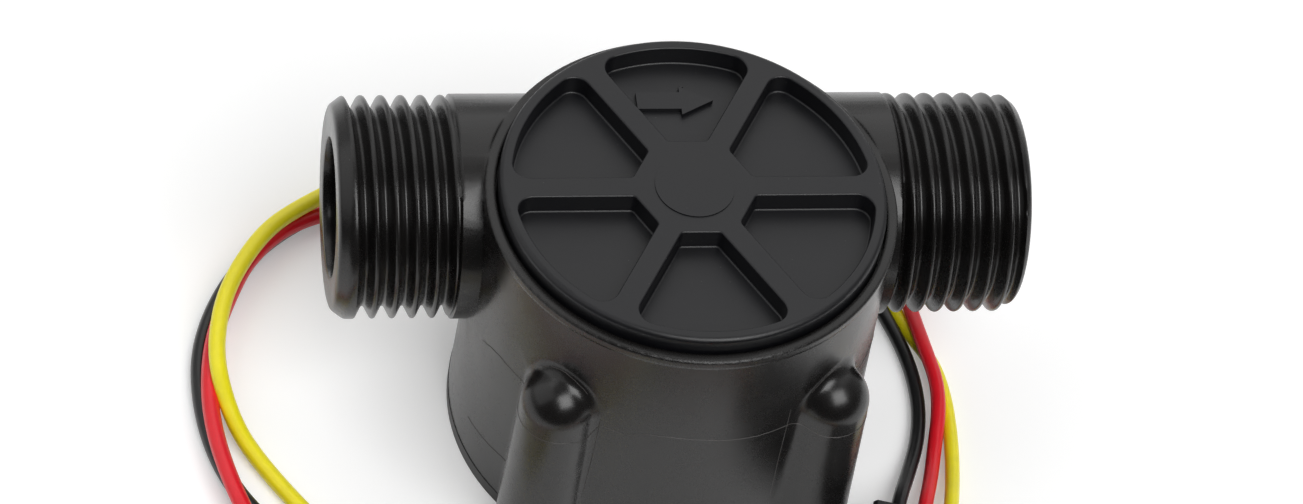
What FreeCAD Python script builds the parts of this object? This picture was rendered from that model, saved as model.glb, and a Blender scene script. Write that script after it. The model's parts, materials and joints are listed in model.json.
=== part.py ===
import FreeCAD, Part
import math
import os

V = FreeCAD.Vector
UP = V(0, 0, 1)
ALONG = V(1, 0, 0)

# All sizes in millimetres. Z is up. The origin is where the rotor's axis meets the resting
# face. Water runs along +X through a pipe that passes behind the rotor's axis.

# ---- Main sizes ----
METER_R = 19.1           # the housing's wall at its foot
METER_H = 31.9           # from the resting face to the top of the cap
INLET_REACH = 31.1       # from the rotor's axis to the mouth of each pipe end
OUTLET_REACH = 31.9

# ---- Housing: one moulding with two threaded pipe ends ----
COVER_T = 1.3            # bottom cover plate
BAY_SHARE = 0.3166       # height of the dry bay for the electronics, as a share of the meter's
FLOOR_T = 1.6            # wall between the dry bay and the wet chamber
SPIGOT_BORE_H = 2.4      # bore above the chamber's ledge, up to the cap's seat
RIM_H = 1.7              # rim ring around the cap, above the seat
RIM_WALL = 0.95          # thickness of the rim round the cap
RIM_BAND_H = 0.95
RIM_LIP = 0.2            # the rim stands this far proud of the wall
RIM_EDGE = 0.2           # its rounded upper edges
WALL_DRAFT = 0.8         # the wall's radius grows this much down to its foot
TIP_GAP = 1.4            # between the rotor's vanes and the chamber's wall
LEDGE_W = 0.9            # ledge under the cap's spigot
SEAT_W = 2.95            # from the cap's seat in to the bore for its spigot
BAY_WALL = 3.9

PIPE_OFFSET_Y = 7.4      # the pipe's axis lies this far behind the rotor's axis
PIPE_LEVEL = 0.553       # the pipe's axis above the chamber's floor, as a share of its height
THREAD_R = 10.05         # crest radius of the pipe thread
NECK_STEP = 0.16         # the plain neck is this much thicker than the thread's crests
LEAD_RING_R = 9.25       # plain ring at each mouth, where the thread runs out
LEAD_RING_L = 0.5
LEAD_TAPER = 0.5         # from that ring up to the first crest
INLET_NECK = 20.2        # from the rotor's axis to the end of each plain neck
OUTLET_NECK = 19.6
PORT_R = 6.3             # bore at the pipe ends
PORT_DEPTH = 10.0        # length of that bore
THROAT_LEN = 4.0         # taper from the port to the nozzle
NOZZLE_R = 4.6           # jet nozzle on the inlet side
OUTLET_NOZZLE_R = 5.6

BOSS_ANGLE = 49.4        # of the screw columns, from the pipe's direction
BOSS_IN = 0.2            # their axes stand this far inside the wall's foot
BOSS_R = 3.4             # of the columns at their domes
BOSS_DRAFT = 1.7         # degrees that the columns' sides lean outward, down to the foot
BOSS_BLEND = 1.3         # hollow blend between column and wall
BOSS_DOME_Z = 19.5       # centre of the domed top of the two front columns
REAR_DOME_Z = 14.6       # the rear ones run into the pipe's underside
CAP_GAP = 0.22           # around the cap in its rim
OVERCUT = 1.0            # cutting shapes reach this far past the surface they open

# ---- Top cap ----
CAP_T = 3.3
CAP_BORDER = 1.14        # between the pockets and the cap's edge
CAP_EDGE = 0.5           # rounded outer edge
RIB_W = 2.22             # ribs between the six pockets
HUB_APOTHEM = 5.26       # half the width of the hexagonal hub
POCKET_DEPTH = 2.0
POCKET_CORNER = 1.5
POCKET_INNER_CORNER = 0.5
POCKET_EDGE = 0.2        # rounding at the mouth of each pocket, and round its floor
POCKETS = 6
DISC_R = 3.55            # gate disc in the middle of the hub
DISC_H = 0.1
SPIGOT_WALL = 1.9
SPIGOT_FIT = 0.1
SPIGOT_RISE = 0.2        # the spigot ends this far above the ledge
ARROW_H = 0.45           # raised flow arrow in the rear pocket
ARROW_TAIL = 4.0
ARROW_SHAFT_W = 1.95
ARROW_HEAD = 3.0
ARROW_HEAD_W = 3.3
ARROW_R = 11.3           # the arrow's centre line, from the cap's axis
ARROW_BACK = 0.25        # and its middle, back from the pocket's middle

# ---- Seal ----
SEAL_SECTION = 1.24
SEAL_GROOVE_H = 1.5
SEAL_GROOVE_DEPTH = 1.15

# ---- Rotor and its bearing ----
PIN_R = 1.0
PIN_SOCKET = 2.0         # how deep the pin sits in the housing's floor boss
PIN_CAP_SOCKET = 3.0     # how deep it reaches into the cap
PIN_CHAMFER = 0.2
RUNNING = 0.03           # radial clearance of the bushes on the pin
PRESSED = 0.02           # radial clearance modelled in pressed joints
BUSH_WALL = 0.6
BUSH_LEN = 3.0
WASHER_R = 2.4
WASHER_T = 0.4
FLOAT_LOW = 0.15         # end float under and over the rotor
FLOAT_TOP = 0.2
FLOOR_BOSS_H = 0.5
PIN_BOSS_R = 3.0
ROTOR_HUB_R = 3.6
VANES = 8
VANE_T = 1.1
VANE_ARC_R = 12.0        # radius of each vane's curve in plan
VANE_LEAN = 60.0         # degrees from the vane's own direction to its curve's centre
VANE_TRIM = 0.4          # the vanes end this far inside the hub's two ends
MAGNET_R = 7.6
MAGNET_BORE_R = 4.5
MAGNET_T = 2.6
MAGNET_WALL = 1.0

# ---- Electronics in the dry bay ----
BOARD_X0, BOARD_X1 = -7.0, 7.5
BOARD_Y0 = 4.4
BOARD_EDGE_GAP = 2.6     # from the board's outer edge to the bay's wall
BOARD_T = 0.8
BOARD_CORNER = 1.0
BOARD_DROP = 1.1         # from the bay's ceiling to the board's top
POST_R = 1.0
HALL_X, HALL_Y, HALL_T = 4.1, 3.0, 1.3
HALL_GAP = 0.15          # around the sensor, and over it in its recess
CHIP_X, CHIP_Y, CHIP_T = 2.0, 1.25, 0.55
CHIPS_AT = (-4.6, -0.8)  # where the two small parts start along the board
POTTING_T = 4.2          # sealing compound, from the bay's ceiling
POTTING_GAP = 0.1

# ---- Cable exit ----
WIRE_D = 1.4
EXIT_X = 4.0
EXIT_Z = 2.9
BOARD_PAD_IN = 4.0       # the wires meet the board this far inside its outer edge
WIRE_TURN = [(0, 6.85), (1.35, 4.3), (3.7, 2.94), (8.0, EXIT_Z)]  # outward and height, to the exit
WIRE_PITCH = 1.9
WIRE_GAP = 0.06
GROMMET_W = 7.4
GROMMET_H = 3.2
GROMMET_LIP = 0.8
GROMMET_LIP_T = 0.8
GROMMET_FIT = 0.05

# ---- Cover and screws ----
EAR_STEP = 0.1           # the cover's ears show this much round the columns
COVER_FIT = 0.15
COVER_STEP = 0.05        # the cover shows this much round the wall's foot
COVER_RING_W = 1.2
COVER_RING_H = 0.7
SCREW_R = 1.25
SCREW_LEN = 11.6
SCREW_HEAD_R = 2.4
SCREW_HEAD_H = 1.1
SCREW_RECESS = 0.05
SCREW_FIT = 0.03
SCREW_TIP_R = 0.4
CROSS_W = 0.55
CROSS_L = 2.6
CROSS_DEPTH = 0.75

# ---- In-line connector, three ways ----
PITCH = 2.5
PLUG_X, PLUG_Y, PLUG_Z = 23.0, -17.1, 2.9   # centre of the plug's rear face
DRAWN_R = 19.1                       # the meter's radius that the free wires are drawn around
PLUG_HEADING = -106.3                # degrees from +X
PLUG_L, PLUG_W, PLUG_H = 12.0, 9.8, 5.8
PLUG_CAVITY = 6.2
NOSE_L, NOSE_W, NOSE_H = 6.0, 8.0, 4.0
NOSE_GAP = 0.15
SOCKET_L, SOCKET_W, SOCKET_H = 8.0, 9.2, 5.4
CONNECTOR_EDGE = 0.35
ENTRY = 1.5              # how far a wire goes into its housing
CRIMP_L = 2.2
CRIMP_LAP = 0.5          # a blade starts this far inside its crimp
BLADE_W = 0.64
BLADE_REACH = 4.0        # free length of a blade, inside the cavity
BLADE_FIT = 0.05
SLEEVE_W = 1.1
SLEEVE_SETBACK = 0.4     # the sleeves start this far inside the nose
LATCH_AT = 3.9           # from the plug's mouth back to the start of the latch
LATCH_L, LATCH_W, LATCH_H = 1.5, 2.6, 0.75
LATCH_PLAY = 0.15        # around the latch in its window
PLUG_RUN_IN = 2.2        # straight length of a wire before the plug
SOCKET_RUN_OUT = 3.6     # and of a lead behind the socket
LEAD_D = 1.6
TIP_L = 5.0
TIP_R = 0.45

# ---- Radii and levels that follow ----
WALL_R_TOP = METER_R - WALL_DRAFT
RIM_R = WALL_R_TOP + RIM_LIP
CAP_SEAT_R = RIM_R - RIM_WALL
CAP_R = CAP_SEAT_R - CAP_GAP
POCKET_R = CAP_R - CAP_BORDER
SPIGOT_BORE_R = CAP_SEAT_R - SEAT_W
SPIGOT_R = SPIGOT_BORE_R - SPIGOT_FIT
CHAMBER_R = SPIGOT_R - LEDGE_W
ROTOR_R = CHAMBER_R - TIP_GAP
BAY_R = METER_R - BAY_WALL
BODY_Z = COVER_T
CEILING_Z = BODY_Z + BAY_SHARE * METER_H
CHAMBER_Z = CEILING_Z + FLOOR_T
CAP_Z = METER_H
SEAT_Z = CAP_Z - CAP_T
RIM_Z = SEAT_Z + RIM_H
LEDGE_Z = SEAT_Z - SPIGOT_BORE_H
PIPE_Z = CHAMBER_Z + PIPE_LEVEL * (LEDGE_Z - CHAMBER_Z)
SPIGOT_Z = LEDGE_Z + SPIGOT_RISE
FLOOR_BOSS_Z = CHAMBER_Z + FLOOR_BOSS_H
ROTOR_Z0 = FLOOR_BOSS_Z + WASHER_T + FLOAT_LOW
CAP_BOSS_Z = SPIGOT_Z
ROTOR_Z1 = CAP_BOSS_Z - WASHER_T - FLOAT_TOP
PIN_Z0 = CHAMBER_Z - PIN_SOCKET
PIN_Z1 = CAP_BOSS_Z + PIN_CAP_SOCKET
BOARD_Z = CEILING_Z - BOARD_DROP
BOARD_Y1 = BAY_R - BOARD_EDGE_GAP
BOARD_PAD_Y = BOARD_Y1 - BOARD_PAD_IN
MAGNET_MID_R = (MAGNET_R + MAGNET_BORE_R) / 2
BUSH_R = PIN_R + RUNNING + BUSH_WALL
EAR_R = BOSS_R + (BOSS_DOME_Z - BODY_Z) * math.tan(math.radians(BOSS_DRAFT)) + EAR_STEP

# ---- Routes of the free wires, from the board or housing to the far end ----
REST_GAP = 0.02          # the loose wires lie this far above the resting face
ARC_SHARE = 0.45         # of each straight run, the most that the arc at its end takes
FLOOR_WIRE = WIRE_D / 2 + REST_GAP
FLOOR_LEAD = LEAD_D / 2 + REST_GAP


def laid(x, y, z):
    """A point of a free wire, which moves out as the meter's radius grows."""
    return V(x * METER_R / DRAWN_R, y * METER_R / DRAWN_R, z)


def in_plug(along, across):
    """A point of the connector: along its axis from the plug's rear face, and across it."""
    a = math.radians(PLUG_HEADING)
    axis, side = V(math.cos(a), math.sin(a), 0), V(-math.sin(a), math.cos(a), 0)
    return laid(PLUG_X, PLUG_Y, PLUG_Z) + axis * along + side * across


def wire_route(exit_lane, plug_lane, middle):
    """From the board, down and out through the grommet, over the resting face, to the plug."""
    x = EXIT_X + exit_lane * WIRE_PITCH
    start = [V(x, BOARD_PAD_Y, BOARD_Z - BOARD_T)]
    start += [V(x, BOARD_PAD_Y + out, z) for out, z in WIRE_TURN]
    end = [in_plug(-PLUG_RUN_IN, plug_lane * PITCH), in_plug(ENTRY, plug_lane * PITCH)]
    return start + [laid(*p) for p in middle] + end


def lead_route(lane, middle):
    """From the socket, round the front of the housing and up behind its inlet side."""
    rear = PLUG_L + SOCKET_L
    start = [in_plug(rear - ENTRY, lane * PITCH), in_plug(rear + SOCKET_RUN_OUT, lane * PITCH)]
    return start + [laid(*p) for p in middle]


BLACK_WIRE = wire_route(1, -1, [
    (5.9, 20.9, 2.85), (7.9, 24.6, 1.7), (12.2, 26.6, FLOOR_WIRE), (17.0, 25.0, FLOOR_WIRE),
    (20.4, 20.8, FLOOR_WIRE), (22.1, 15.4, FLOOR_WIRE), (23.3, 9.7, FLOOR_WIRE),
    (24.6, 5.9, FLOOR_WIRE), (25.35, 2.2, FLOOR_WIRE), (25.1, -1.9, FLOOR_WIRE),
    (24.2, -6.0, FLOOR_WIRE), (22.8, -9.7, 1.2),
])
YELLOW_WIRE = wire_route(0, 1, [
    (4.0, 21.2, 2.85), (5.9, 25.8, 1.7), (10.6, 28.8, FLOOR_WIRE), (16.4, 28.0, FLOOR_WIRE),
    (21.0, 23.4, FLOOR_WIRE), (23.5, 17.0, FLOOR_WIRE), (24.85, 10.6, FLOOR_WIRE),
    (26.0, 6.4, FLOOR_WIRE), (27.25, 2.4, FLOOR_WIRE), (28.3, -1.4, FLOOR_WIRE),
    (28.1, -5.6, FLOOR_WIRE), (27.3, -9.9, 1.2),
])
RED_WIRE = wire_route(-1, 0, [
    (2.1, 21.4, 2.85), (3.9, 26.6, 1.7), (9.0, 30.8, FLOOR_WIRE), (15.8, 30.4, FLOOR_WIRE),
    (21.4, 26.2, FLOOR_WIRE), (24.7, 20.2, FLOOR_WIRE), (26.1, 14.6, FLOOR_WIRE),
    (26.55, 10.2, FLOOR_WIRE), (27.2, 6.5, 1.7), (27.3, 2.9, 2.25), (27.15, -1.3, 2.25),
    (26.6, -4.8, 1.2), (25.7, -8.2, 0.9), (24.9, -10.9, 1.9),
])
BLACK_LEAD = lead_route(-1, [
    (10.2, -42.6, 1.4), (4.8, -44.4, FLOOR_LEAD), (-1.0, -44.4, FLOOR_LEAD),
    (-7.0, -43.2, FLOOR_LEAD), (-13.0, -40.6, FLOOR_LEAD), (-18.6, -36.3, FLOOR_LEAD),
    (-23.6, -30.8, FLOOR_LEAD), (-28.0, -25.0, FLOOR_LEAD), (-31.8, -19.8, FLOOR_LEAD),
    (-35.0, -15.2, FLOOR_LEAD), (-37.9, -11.1, FLOOR_LEAD), (-40.2, -8.2, FLOOR_LEAD),
    (-42.0, -5.1, FLOOR_LEAD), (-42.75, -1.5, FLOOR_LEAD), (-42.8, 2.2, FLOOR_LEAD),
    (-42.3, 6.2, FLOOR_LEAD), (-41.1, 10.8, FLOOR_LEAD), (-38.7, 15.3, FLOOR_LEAD),
    (-35.8, 18.9, FLOOR_LEAD), (-32.6, 22.0, FLOOR_LEAD), (-28.6, 24.4, FLOOR_LEAD),
    (-24.0, 25.6, FLOOR_LEAD), (-19.2, 25.6, FLOOR_LEAD), (-14.4, 25.0, FLOOR_LEAD),
    (-9.6, 25.8, FLOOR_LEAD),
])
RED_LEAD = lead_route(0, [
    (13.0, -44.0, 1.5), (7.6, -46.8, FLOOR_LEAD), (1.2, -47.2, FLOOR_LEAD),
    (-5.4, -46.0, FLOOR_LEAD), (-12.2, -43.4, FLOOR_LEAD), (-18.8, -39.2, FLOOR_LEAD),
    (-24.6, -33.8, FLOOR_LEAD), (-29.6, -28.0, FLOOR_LEAD), (-33.7, -22.2, FLOOR_LEAD),
    (-36.9, -16.8, 0.9), (-38.8, -12.7, 1.6), (-39.8, -9.6, 2.55), (-40.5, -6.2, 2.55),
    (-40.95, -2.2, 1.1), (-41.1, 2.1, FLOOR_LEAD), (-40.5, 6.2, FLOOR_LEAD),
    (-39.3, 10.4, FLOOR_LEAD), (-37.2, 14.3, FLOOR_LEAD), (-34.2, 17.8, FLOOR_LEAD),
    (-30.7, 20.7, FLOOR_LEAD), (-26.4, 22.6, FLOOR_LEAD), (-21.4, 23.3, FLOOR_LEAD),
    (-16.2, 22.6, FLOOR_LEAD), (-11.0, 22.4, FLOOR_LEAD), (-6.4, 23.2, FLOOR_LEAD),
])
YELLOW_LEAD = lead_route(1, [
    (15.6, -45.6, 1.5), (10.2, -48.8, FLOOR_LEAD), (3.8, -49.6, FLOOR_LEAD),
    (-2.4, -48.6, 1.1), (-8.0, -46.2, 2.6), (-12.8, -42.2, 2.6), (-16.8, -37.2, 2.6),
    (-19.8, -31.8, 1.0), (-22.8, -26.4, FLOOR_LEAD), (-26.2, -21.2, FLOOR_LEAD),
    (-30.0, -16.3, FLOOR_LEAD), (-33.6, -11.6, FLOOR_LEAD), (-36.6, -7.4, FLOOR_LEAD),
    (-38.4, -3.9, 0.85), (-39.5, -0.7, 1.5), (-40.1, 2.7, 2.55), (-40.0, 6.7, 2.6),
    (-39.2, 10.8, 2.6), (-37.8, 14.4, 2.6), (-35.6, 17.4, 2.6), (-33.0, 20.1, 2.6),
    (-29.9, 22.5, 2.6), (-26.6, 25.0, 2.6), (-22.8, 27.6, 1.9), (-18.4, 28.6, FLOOR_LEAD),
    (-13.6, 28.0, FLOOR_LEAD), (-8.8, 28.6, FLOOR_LEAD),
])


# ---- Helpers ----
def cylinder(r, z0, z1, x=0.0, y=0.0):
    return Part.makeCylinder(r, z1 - z0, V(x, y, z0))


def cone(r0, r1, z0, z1, x=0.0, y=0.0):
    return Part.makeCone(r0, r1, z1 - z0, V(x, y, z0))


def ring(r_in, r_out, z0, z1, x=0.0, y=0.0):
    return cylinder(r_out, z0, z1, x, y).cut(cylinder(r_in, z0, z1, x, y))


def block(x0, x1, y0, y1, z0, z1):
    return Part.makeBox(x1 - x0, y1 - y0, z1 - z0, V(x0, y0, z0))


def along_pipe(r, x0, x1):
    return Part.makeCylinder(r, x1 - x0, V(x0, PIPE_OFFSET_Y, PIPE_Z), ALONG)


def taper_along_pipe(r0, r1, x0, x1):
    return Part.makeCone(r0, r1, x1 - x0, V(x0, PIPE_OFFSET_Y, PIPE_Z), ALONG)


def fused(first, *others):
    return first.multiFuse(list(others)).removeSplitter()


def boss_places():
    """The four screw columns, the two front ones first."""
    a, r = math.radians(BOSS_ANGLE), METER_R - BOSS_IN
    x, y = r * math.cos(a), r * math.sin(a)
    return [(-x, -y), (x, -y), (-x, y), (x, y)]


def upright_edges(solid, places):
    """The vertical edges of a solid that stand at the given places in plan."""
    found = []
    for edge in solid.Edges:
        a, b = edge.Vertexes[0].Point, edge.Vertexes[-1].Point
        if abs(a.x - b.x) + abs(a.y - b.y) < 1e-6 and abs(a.z - b.z) > 1e-6:
            if any(math.hypot(a.x - x, a.y - y) < 1e-3 for x, y in places):
                found.append(edge)
    return found


def tube(name, points, diameter):
    """A round cord along straight runs joined by tangent arcs, each as large as its runs allow."""
    edges, at, radii, length = [], points[0], [], 0.0
    for before, corner, after in zip(points, points[1:], points[2:]):
        back, on = (before - corner).normalize(), (after - corner).normalize()
        half = (math.pi - back.getAngle(on)) / 2
        reach = ARC_SHARE * min((corner - before).Length, (after - corner).Length)
        r = reach / math.tan(half)
        start, end = corner + back * reach, corner + on * reach
        middle = corner + (back + on).normalize() * (r / math.cos(half) - r)
        edges.append(Part.LineSegment(at, start).toShape())
        edges.append(Part.Arc(start, middle, end).toShape())
        length += (start - at).Length + 2 * half * r
        radii.append(r)
        at = end
    edges.append(Part.LineSegment(at, points[-1]).toShape())
    length += (points[-1] - at).Length
    section = Part.Wire(Part.makeCircle(diameter / 2, points[0], points[1] - points[0]))
    solid = Part.Wire(edges).makePipeShell([section], True, False)
    share = solid.Volume / (math.pi * diameter**2 / 4 * length)
    rounded = " ".join(f"{r:.1f}" for r in radii)
    print(f"{name}: length {length:.1f}, volume share {share:.4f}, radii {rounded}")
    return solid


def save(name, shape):
    shape.exportStep(f"parts/{name}.step")


# ---- Housing ----
def wall_radius(z):
    """The drafted wall's outer radius at a height."""
    return METER_R - WALL_DRAFT * (z - BODY_Z) / (RIM_Z - BODY_Z)


def column_radius(z, dome_z):
    """The radius at a height of a drafted column, whose side is tangent to its dome."""
    lean = math.radians(BOSS_DRAFT)
    if z > dome_z + BOSS_R * math.sin(lean):
        return math.sqrt(max(0.0, BOSS_R**2 - (z - dome_z) ** 2))
    return BOSS_R / math.cos(lean) + (dome_z - z) * math.tan(lean)


def column(x, y, dome_z):
    """A screw column: a drafted side turned up into a dome."""
    lean = math.radians(BOSS_DRAFT)
    top_z = dome_z + BOSS_R * math.sin(lean)
    foot = V(x + column_radius(BODY_Z, dome_z), y, BODY_Z)
    shoulder = V(x + column_radius(top_z, dome_z), y, top_z)
    half_way = (lean + math.pi / 2) / 2
    over = V(x + BOSS_R * math.cos(half_way), y, dome_z + BOSS_R * math.sin(half_way))
    top = V(x, y, dome_z + BOSS_R)
    outline = Part.Wire([
        Part.LineSegment(V(x, y, BODY_Z), foot).toShape(),
        Part.LineSegment(foot, shoulder).toShape(),
        Part.Arc(shoulder, over, top).toShape(),
        Part.LineSegment(top, V(x, y, BODY_Z)).toShape(),
    ])
    return Part.Face(outline).revolve(V(x, y, 0), UP, 360)


def wall_with_columns():
    """The drafted wall with its four domed screw columns, blended into it."""
    pieces = [cone(wall_radius(BODY_Z), wall_radius(RIM_Z), BODY_Z, RIM_Z)]
    domes = []
    for x, y in boss_places():
        dome_z = BOSS_DOME_Z if y < 0 else REAR_DOME_Z
        pieces.append(column(x, y, dome_z))
        domes.append(V(x, y, dome_z))
    wall = fused(*pieces)
    meets = []
    for edge in wall.Edges:
        p = edge.valueAt((edge.FirstParameter + edge.LastParameter) / 2)
        off_wall = abs(math.hypot(p.x, p.y) - wall_radius(p.z))
        off_columns = [abs(math.hypot(p.x - c.x, p.y - c.y) - column_radius(p.z, c.z)) for c in domes]
        if off_wall < 1e-3 and min(off_columns) < 1e-3 and BODY_Z < p.z < RIM_Z:
            meets.append(edge)
    return wall.makeFillet(BOSS_BLEND, meets)


def pipe_outside():
    """Both pipe ends: a plain neck through the housing, the thread's crests and a lead ring."""
    pieces = [along_pipe(THREAD_R + NECK_STEP, -INLET_NECK, OUTLET_NECK),
              along_pipe(LEAD_RING_R, -INLET_REACH, OUTLET_REACH)]
    for sign, neck, reach in ((-1, INLET_NECK, INLET_REACH), (1, OUTLET_NECK, OUTLET_REACH)):
        ring_x = reach - LEAD_RING_L
        crest_x = ring_x - LEAD_TAPER
        x0, x1 = sorted((sign * neck, sign * crest_x))
        pieces.append(along_pipe(THREAD_R, x0, x1))
        x0, x1 = sorted((sign * crest_x, sign * ring_x))
        r0, r1 = (THREAD_R, LEAD_RING_R)[::sign]
        pieces.append(taper_along_pipe(r0, r1, x0, x1))
    return fused(*pieces)


def housing_outside():
    band = cylinder(RIM_R, RIM_Z - RIM_BAND_H, RIM_Z)
    band = band.makeFillet(RIM_EDGE, [e for e in band.Edges if e.BoundBox.ZMin > RIM_Z - 1e-6])
    body = fused(wall_with_columns(), pipe_outside(), band)
    return body.cut(cylinder(RIM_R, RIM_Z, CAP_Z))


def water_way():
    """The path of the water: port, throat and nozzle on each side, and the chamber between."""
    throat_in = -INLET_REACH + PORT_DEPTH
    throat_out = OUTLET_REACH - PORT_DEPTH
    return [
        along_pipe(PORT_R, -INLET_REACH, throat_in),
        taper_along_pipe(PORT_R, NOZZLE_R, throat_in, throat_in + THROAT_LEN),
        along_pipe(NOZZLE_R, throat_in + THROAT_LEN, 0),
        along_pipe(OUTLET_NOZZLE_R, 0, throat_out - THROAT_LEN),
        taper_along_pipe(OUTLET_NOZZLE_R, PORT_R, throat_out - THROAT_LEN, throat_out),
        along_pipe(PORT_R, throat_out, OUTLET_REACH),
        cylinder(CHAMBER_R, CHAMBER_Z, LEDGE_Z),
        cylinder(SPIGOT_BORE_R, LEDGE_Z, SEAT_Z),
        cylinder(CAP_SEAT_R, SEAT_Z, RIM_Z),
    ]


def exit_notch(extra=0.0):
    """The slot in the skirt where the wires leave, seen as a block that runs outward."""
    half = GROMMET_W / 2 + extra
    return block(EXIT_X - half, EXIT_X + half, 0, METER_R + GROMMET_LIP_T + OVERCUT,
                 BODY_Z, BODY_Z + GROMMET_H + extra)


def meter_body():
    body = housing_outside().cut(fused(*water_way()))
    body = body.cut(cylinder(BAY_R, BODY_Z, CEILING_Z))
    body = body.fuse(cylinder(PIN_BOSS_R, CHAMBER_Z, FLOOR_BOSS_Z))
    body = body.fuse(cylinder(PIN_BOSS_R, PIN_Z0 - FLOOR_T, CEILING_Z))
    post_y = (BOARD_Y0 + BOARD_Y1) / 2
    for x in (BOARD_X0 + 2 * POST_R, BOARD_X1 - 2 * POST_R):
        body = body.fuse(cylinder(POST_R, BOARD_Z, CEILING_Z, x, post_y))
    cuts = [cylinder(PIN_R + PRESSED, PIN_Z0, FLOOR_BOSS_Z), exit_notch(GROMMET_FIT)]
    for x, y in boss_places():
        cuts.append(cylinder(SCREW_R + SCREW_FIT, BODY_Z, SCREW_LEN + OVERCUT, x, y))
    recess_x, recess_y = HALL_X / 2 + HALL_GAP, HALL_Y / 2 + HALL_GAP
    hall_top = BOARD_Z + HALL_T + HALL_GAP
    cuts.append(block(-recess_x, recess_x, MAGNET_MID_R - recess_y, MAGNET_MID_R + recess_y,
                      CEILING_Z, hall_top))
    return body.cut(fused(*cuts)).removeSplitter()


# ---- Top cap ----
def pocket(angle):
    """One pocket: two sides parallel to the ribs, a straight inner side and a round outer one."""
    tilt = math.pi / POCKETS
    s, c, t = math.sin(tilt), math.cos(tilt), RIB_W / 2
    inner_at = (HUB_APOTHEM - t * s) / c
    outer_at = math.sqrt(POCKET_R**2 - t**2)
    inner = V(HUB_APOTHEM, inner_at * s - t * c, 0)
    outer = V(t * s + outer_at * c, outer_at * s - t * c, 0)
    low_inner, low_outer = V(inner.x, -inner.y, 0), V(outer.x, -outer.y, 0)
    outline = Part.Wire([
        Part.LineSegment(low_inner, inner).toShape(),
        Part.LineSegment(inner, outer).toShape(),
        Part.Arc(outer, V(POCKET_R, 0, 0), low_outer).toShape(),
        Part.LineSegment(low_outer, low_inner).toShape(),
    ])
    prism = Part.Face(outline).extrude(UP * (POCKET_DEPTH + OVERCUT))
    inner_edges = upright_edges(prism, [(inner.x, inner.y), (inner.x, -inner.y)])
    prism = prism.makeFillet(POCKET_INNER_CORNER, inner_edges)
    outer_edges = upright_edges(prism, [(outer.x, outer.y), (outer.x, -outer.y)])
    prism = prism.makeFillet(POCKET_CORNER, outer_edges)
    prism.rotate(V(0, 0, 0), UP, angle)
    prism.translate(UP * (CAP_Z - POCKET_DEPTH))
    return prism


def flow_arrow():
    """A plain raised arrow that points along the flow, on the rear pocket's floor."""
    half, head = ARROW_SHAFT_W / 2, ARROW_HEAD_W / 2
    back = -(ARROW_TAIL + ARROW_HEAD) / 2 - ARROW_BACK
    neck = back + ARROW_TAIL
    shape = [(back, -half), (neck, -half), (neck, -head), (neck + ARROW_HEAD, 0),
             (neck, head), (neck, half), (back, half)]
    corners = [V(x, ARROW_R + y, CAP_Z - POCKET_DEPTH) for x, y in shape]
    return Part.Face(Part.makePolygon(corners + corners[:1])).extrude(UP * ARROW_H)


def top_cap():
    cap = cylinder(CAP_R, SEAT_Z, CAP_Z)
    rim = [e for e in cap.Edges if e.BoundBox.ZMin > CAP_Z - 1e-6]
    cap = cap.makeFillet(CAP_EDGE, rim)
    for k in range(POCKETS):
        cap = cap.cut(pocket(90 + k * 360 / POCKETS))
    mouths = [e for e in cap.Edges
              if e.BoundBox.ZMin > CAP_Z - 1e-6 and e.BoundBox.XLength < 2 * POCKET_R]
    floors = [e for e in cap.Edges if abs(e.BoundBox.Center.z - CAP_Z + POCKET_DEPTH) < 1e-6]
    cap = cap.makeFillet(POCKET_EDGE, mouths + floors)
    spigot = ring(SPIGOT_R - SPIGOT_WALL, SPIGOT_R, SPIGOT_Z, SEAT_Z)
    groove_z = (SPIGOT_Z + SEAT_Z - SEAL_GROOVE_H) / 2
    groove = ring(SPIGOT_R - SEAL_GROOVE_DEPTH, SPIGOT_R, groove_z, groove_z + SEAL_GROOVE_H)
    boss = cylinder(PIN_BOSS_R, CAP_BOSS_Z, SEAT_Z)
    cap = fused(cap, spigot.cut(groove), boss, cylinder(DISC_R, CAP_Z - CAP_EDGE, CAP_Z + DISC_H),
                flow_arrow())
    return cap.cut(cylinder(PIN_R + PRESSED, CAP_BOSS_Z, PIN_Z1 + PRESSED))


def cap_seal():
    """An O-ring that fills the gland between the spigot's groove and the housing's bore."""
    middle = SPIGOT_R - SEAL_GROOVE_DEPTH + (SEAL_GROOVE_DEPTH + SPIGOT_FIT) / 2
    return Part.makeTorus(middle, SEAL_SECTION / 2, V(0, 0, (SPIGOT_Z + SEAT_Z) / 2))


# ---- Rotor ----
def vane(angle):
    """A vane that curves in plan from the hub to the rotor's rim, with an even thickness."""
    z0, z1 = ROTOR_Z0 + VANE_TRIM, ROTOR_Z1 - VANE_TRIM
    lean = math.radians(VANE_LEAN)
    centre = V(VANE_ARC_R * math.cos(lean), -VANE_ARC_R * math.sin(lean), 0)
    web = ring(VANE_ARC_R - VANE_T / 2, VANE_ARC_R + VANE_T / 2, z0, z1, centre.x, centre.y)
    band = ring(ROTOR_HUB_R - VANE_T / 2, ROTOR_R, z0, z1)
    half_plane = block(0, ROTOR_R + OVERCUT, -ROTOR_R / 2, ROTOR_R, z0, z1)
    shape = web.common(band).common(half_plane)
    shape.rotate(V(0, 0, 0), UP, angle)
    return shape


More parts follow.
